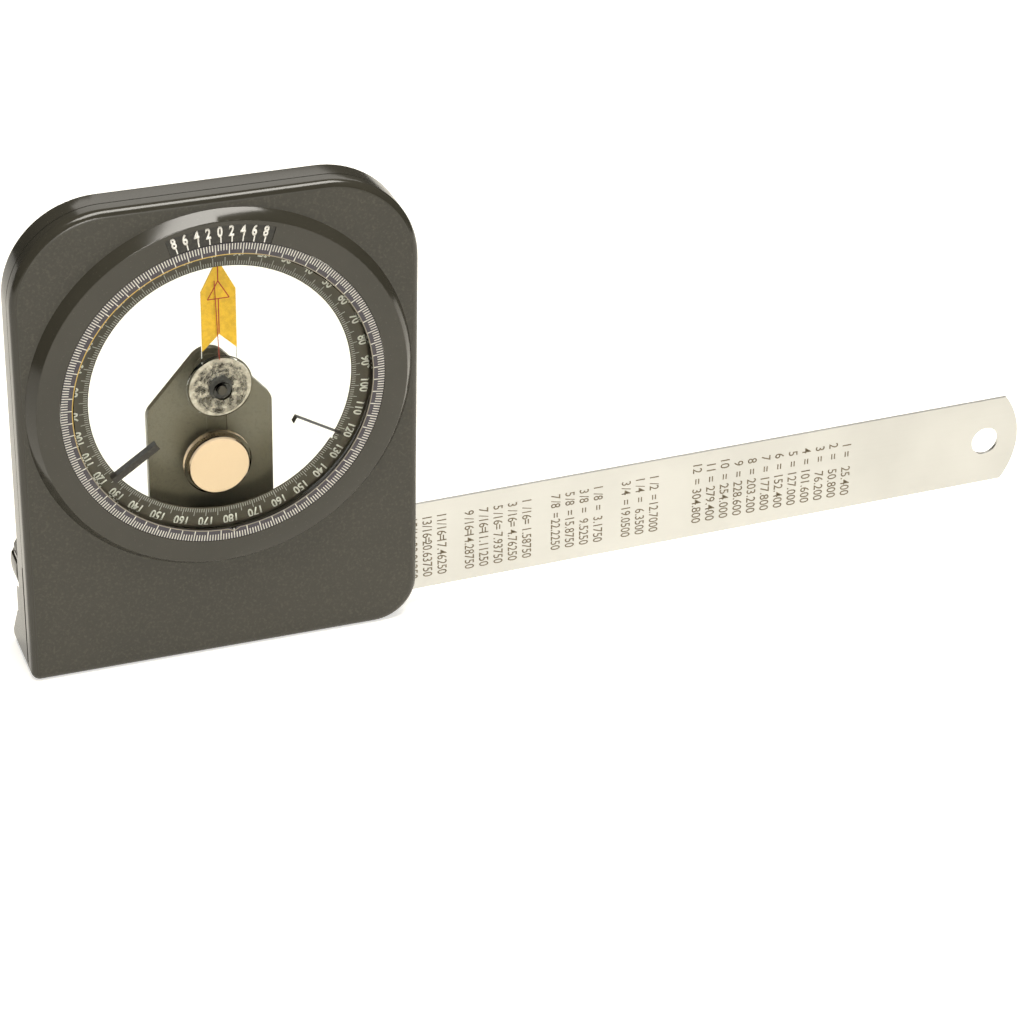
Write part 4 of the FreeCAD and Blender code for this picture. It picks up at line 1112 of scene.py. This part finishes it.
class FINDER_OT_stage(bpy.types.Operator):
    """Set the floor, the lamps, the world and the camera"""
    bl_idname = "finder.stage"
    bl_label = "Stage"

    def execute(self, context):
        stage = context.scene.finder_stage
        self.floor(stage)
        self.world(stage)
        for name, power, size, place, target in (
                ("overhead", stage.overhead_power, (0.95, 0.46), (0.12, -0.22, 1.10), (0.08, -0.16, 0.10)),
                ("front", stage.front_power, (0.3, 0.3), (0.02, -1.70, 0.40), (0.0, 0.0, 0.09)),
                ("rear", stage.rear_power, (1.2, 0.6), (0.45, 1.20, 0.95), (0.0, 0.0, 0.10))):
            self.lamp(name + "_lamp", power, size, Vector(place), Vector(target), stage.lamp_colour)
        self.camera(stage)
        context.scene.view_settings.view_transform = "Standard"
        return {"FINISHED"}

    def floor(self, stage):
        """A table top that looks evenly lit and lights nothing itself."""
        material, maker, shader = new_material("Table top", Roughness=0.9, Specular_IOR_Level=0.1,
                                               Emission_Color=(1.0, 1.0, 0.995, 1.0))
        cloud = noise(maker, maker.place(), 6.0, 2.0)
        tint = stage.floor_colour
        maker.link(blended(maker, cloud, shade(tint), shade(tint, 0.97)), shader.inputs["Base Color"])
        path = maker.add("ShaderNodeLightPath").outputs
        strength = 0.0
        for kind, share in (("Is Camera Ray", 0.6), ("Is Glossy Ray", 0.3), ("Is Transmission Ray", 0.4)):
            strength = maker.math("MAXIMUM", strength, maker.math("MULTIPLY", path[kind], share))
        maker.link(strength, shader.inputs["Emission Strength"])
        work = bmesh.new()
        corners = ((-0.95, -2.6), (0.62, -2.6), (0.62, 1.4), (-0.95, 1.4))
        work.faces.new([work.verts.new((x, y, 0)) for x, y in corners])
        mesh = finished_mesh(work, "table_top")
        mesh.materials.append(material)
        in_scene("table_top", mesh)

    def world(self, stage):
        """A dim warm room that looks white to the camera and through the clear parts."""
        world = bpy.data.worlds.new("Studio")
        bpy.context.scene.world = world
        world.use_nodes = True
        maker = TreeMaker(world.node_tree)
        room = world.node_tree.nodes["Background"]
        settle(room, {"Color": shade(stage.room_colour)})
        white = maker.add("ShaderNodeBackground")
        settle(white, {"Color": (1, 1, 1, 1)})
        path = maker.add("ShaderNodeLightPath").outputs
        maker.link(maker.math("MULTIPLY_ADD", path["Is Glossy Ray"], -0.17, 0.22), room.inputs["Strength"])
        looked = maker.math("MAXIMUM", path["Is Camera Ray"], path["Is Transmission Ray"])
        surface = maker.mixed(looked, room.outputs[0], white.outputs[0])
        maker.link(surface, world.node_tree.nodes["World Output"].inputs["Surface"])

    def lamp(self, name, power, size, place, target, tint):
        light = bpy.data.lights.new(name, "AREA")
        light.shape = "RECTANGLE"
        light.size, light.size_y = size
        light.energy = power
        light.color = tint
        lamp = in_scene(name, light)
        lamp.visible_transmission = False
        lamp.location = place
        lamp.rotation_euler = (target - place).to_track_quat("-Z", "Y").to_euler()

    def camera(self, stage):
        yaw, rise, roll = stage.camera_yaw, stage.camera_elevation, stage.camera_roll
        back = Vector((math.sin(yaw) * math.cos(rise), -math.cos(yaw) * math.cos(rise), math.sin(rise)))
        level = Vector((math.cos(yaw), math.sin(yaw), 0))
        upright = back.cross(level)
        right = math.cos(roll) * level + math.sin(roll) * upright
        up = -math.sin(roll) * level + math.cos(roll) * upright
        data = bpy.data.cameras.new("photo_camera")
        data.lens = stage.lens
        data.sensor_width = 36.0
        data.clip_start = 0.01
        data.clip_end = 20.0
        camera = in_scene("photo_camera", data)
        turn = Matrix((right, up, back)).transposed().to_4x4()
        camera.matrix_world = Matrix.Translation(Vector(stage.camera_place)) @ turn
        bpy.context.scene.camera = camera


class FINDER_PT_panel(bpy.types.Panel):
    """The angle finder's steps"""
    bl_idname = "FINDER_PT_panel"
    bl_label = "Angle finder"
    bl_space_type = "VIEW_3D"
    bl_region_type = "UI"
    bl_category = "Angle finder"

    def draw(self, context):
        for step in STEPS:
            self.layout.operator(step.bl_idname)
        for group in ("finder_scales", "finder_ruler", "finder_colours", "finder_stage"):
            box = self.layout.box()
            owner = getattr(context.scene, group)
            for key in owner.__annotations__:
                box.prop(owner, key)


GROUPS = {"finder_scales": FinderScales, "finder_ruler": FinderRulerPrint,
          "finder_colours": FinderColours, "finder_stage": FinderStage}
STEPS = (FINDER_OT_housing, FINDER_OT_clear_parts, FINDER_OT_metalwork, FINDER_OT_outer_scale,
         FINDER_OT_inner_scale, FINDER_OT_vernier, FINDER_OT_pointer, FINDER_OT_ruler_print,
         FINDER_OT_stage)


def register():
    for item in (*GROUPS.values(), *STEPS, FINDER_PT_panel):
        bpy.utils.register_class(item)
    for name, group in GROUPS.items():
        setattr(bpy.types.Scene, name, bpy.props.PointerProperty(type=group))


def unregister():
    for name in GROUPS:
        delattr(bpy.types.Scene, name)
    for item in reversed((*GROUPS.values(), *STEPS, FINDER_PT_panel)):
        bpy.utils.unregister_class(item)


def main():
    """Runs every step."""
    register()
    for step in (bpy.ops.finder.housing, bpy.ops.finder.clear_parts, bpy.ops.finder.metalwork,
                 bpy.ops.finder.outer_scale, bpy.ops.finder.inner_scale, bpy.ops.finder.vernier,
                 bpy.ops.finder.pointer, bpy.ops.finder.ruler_print, bpy.ops.finder.stage):
        step()


if __name__ == "__main__":
    main()
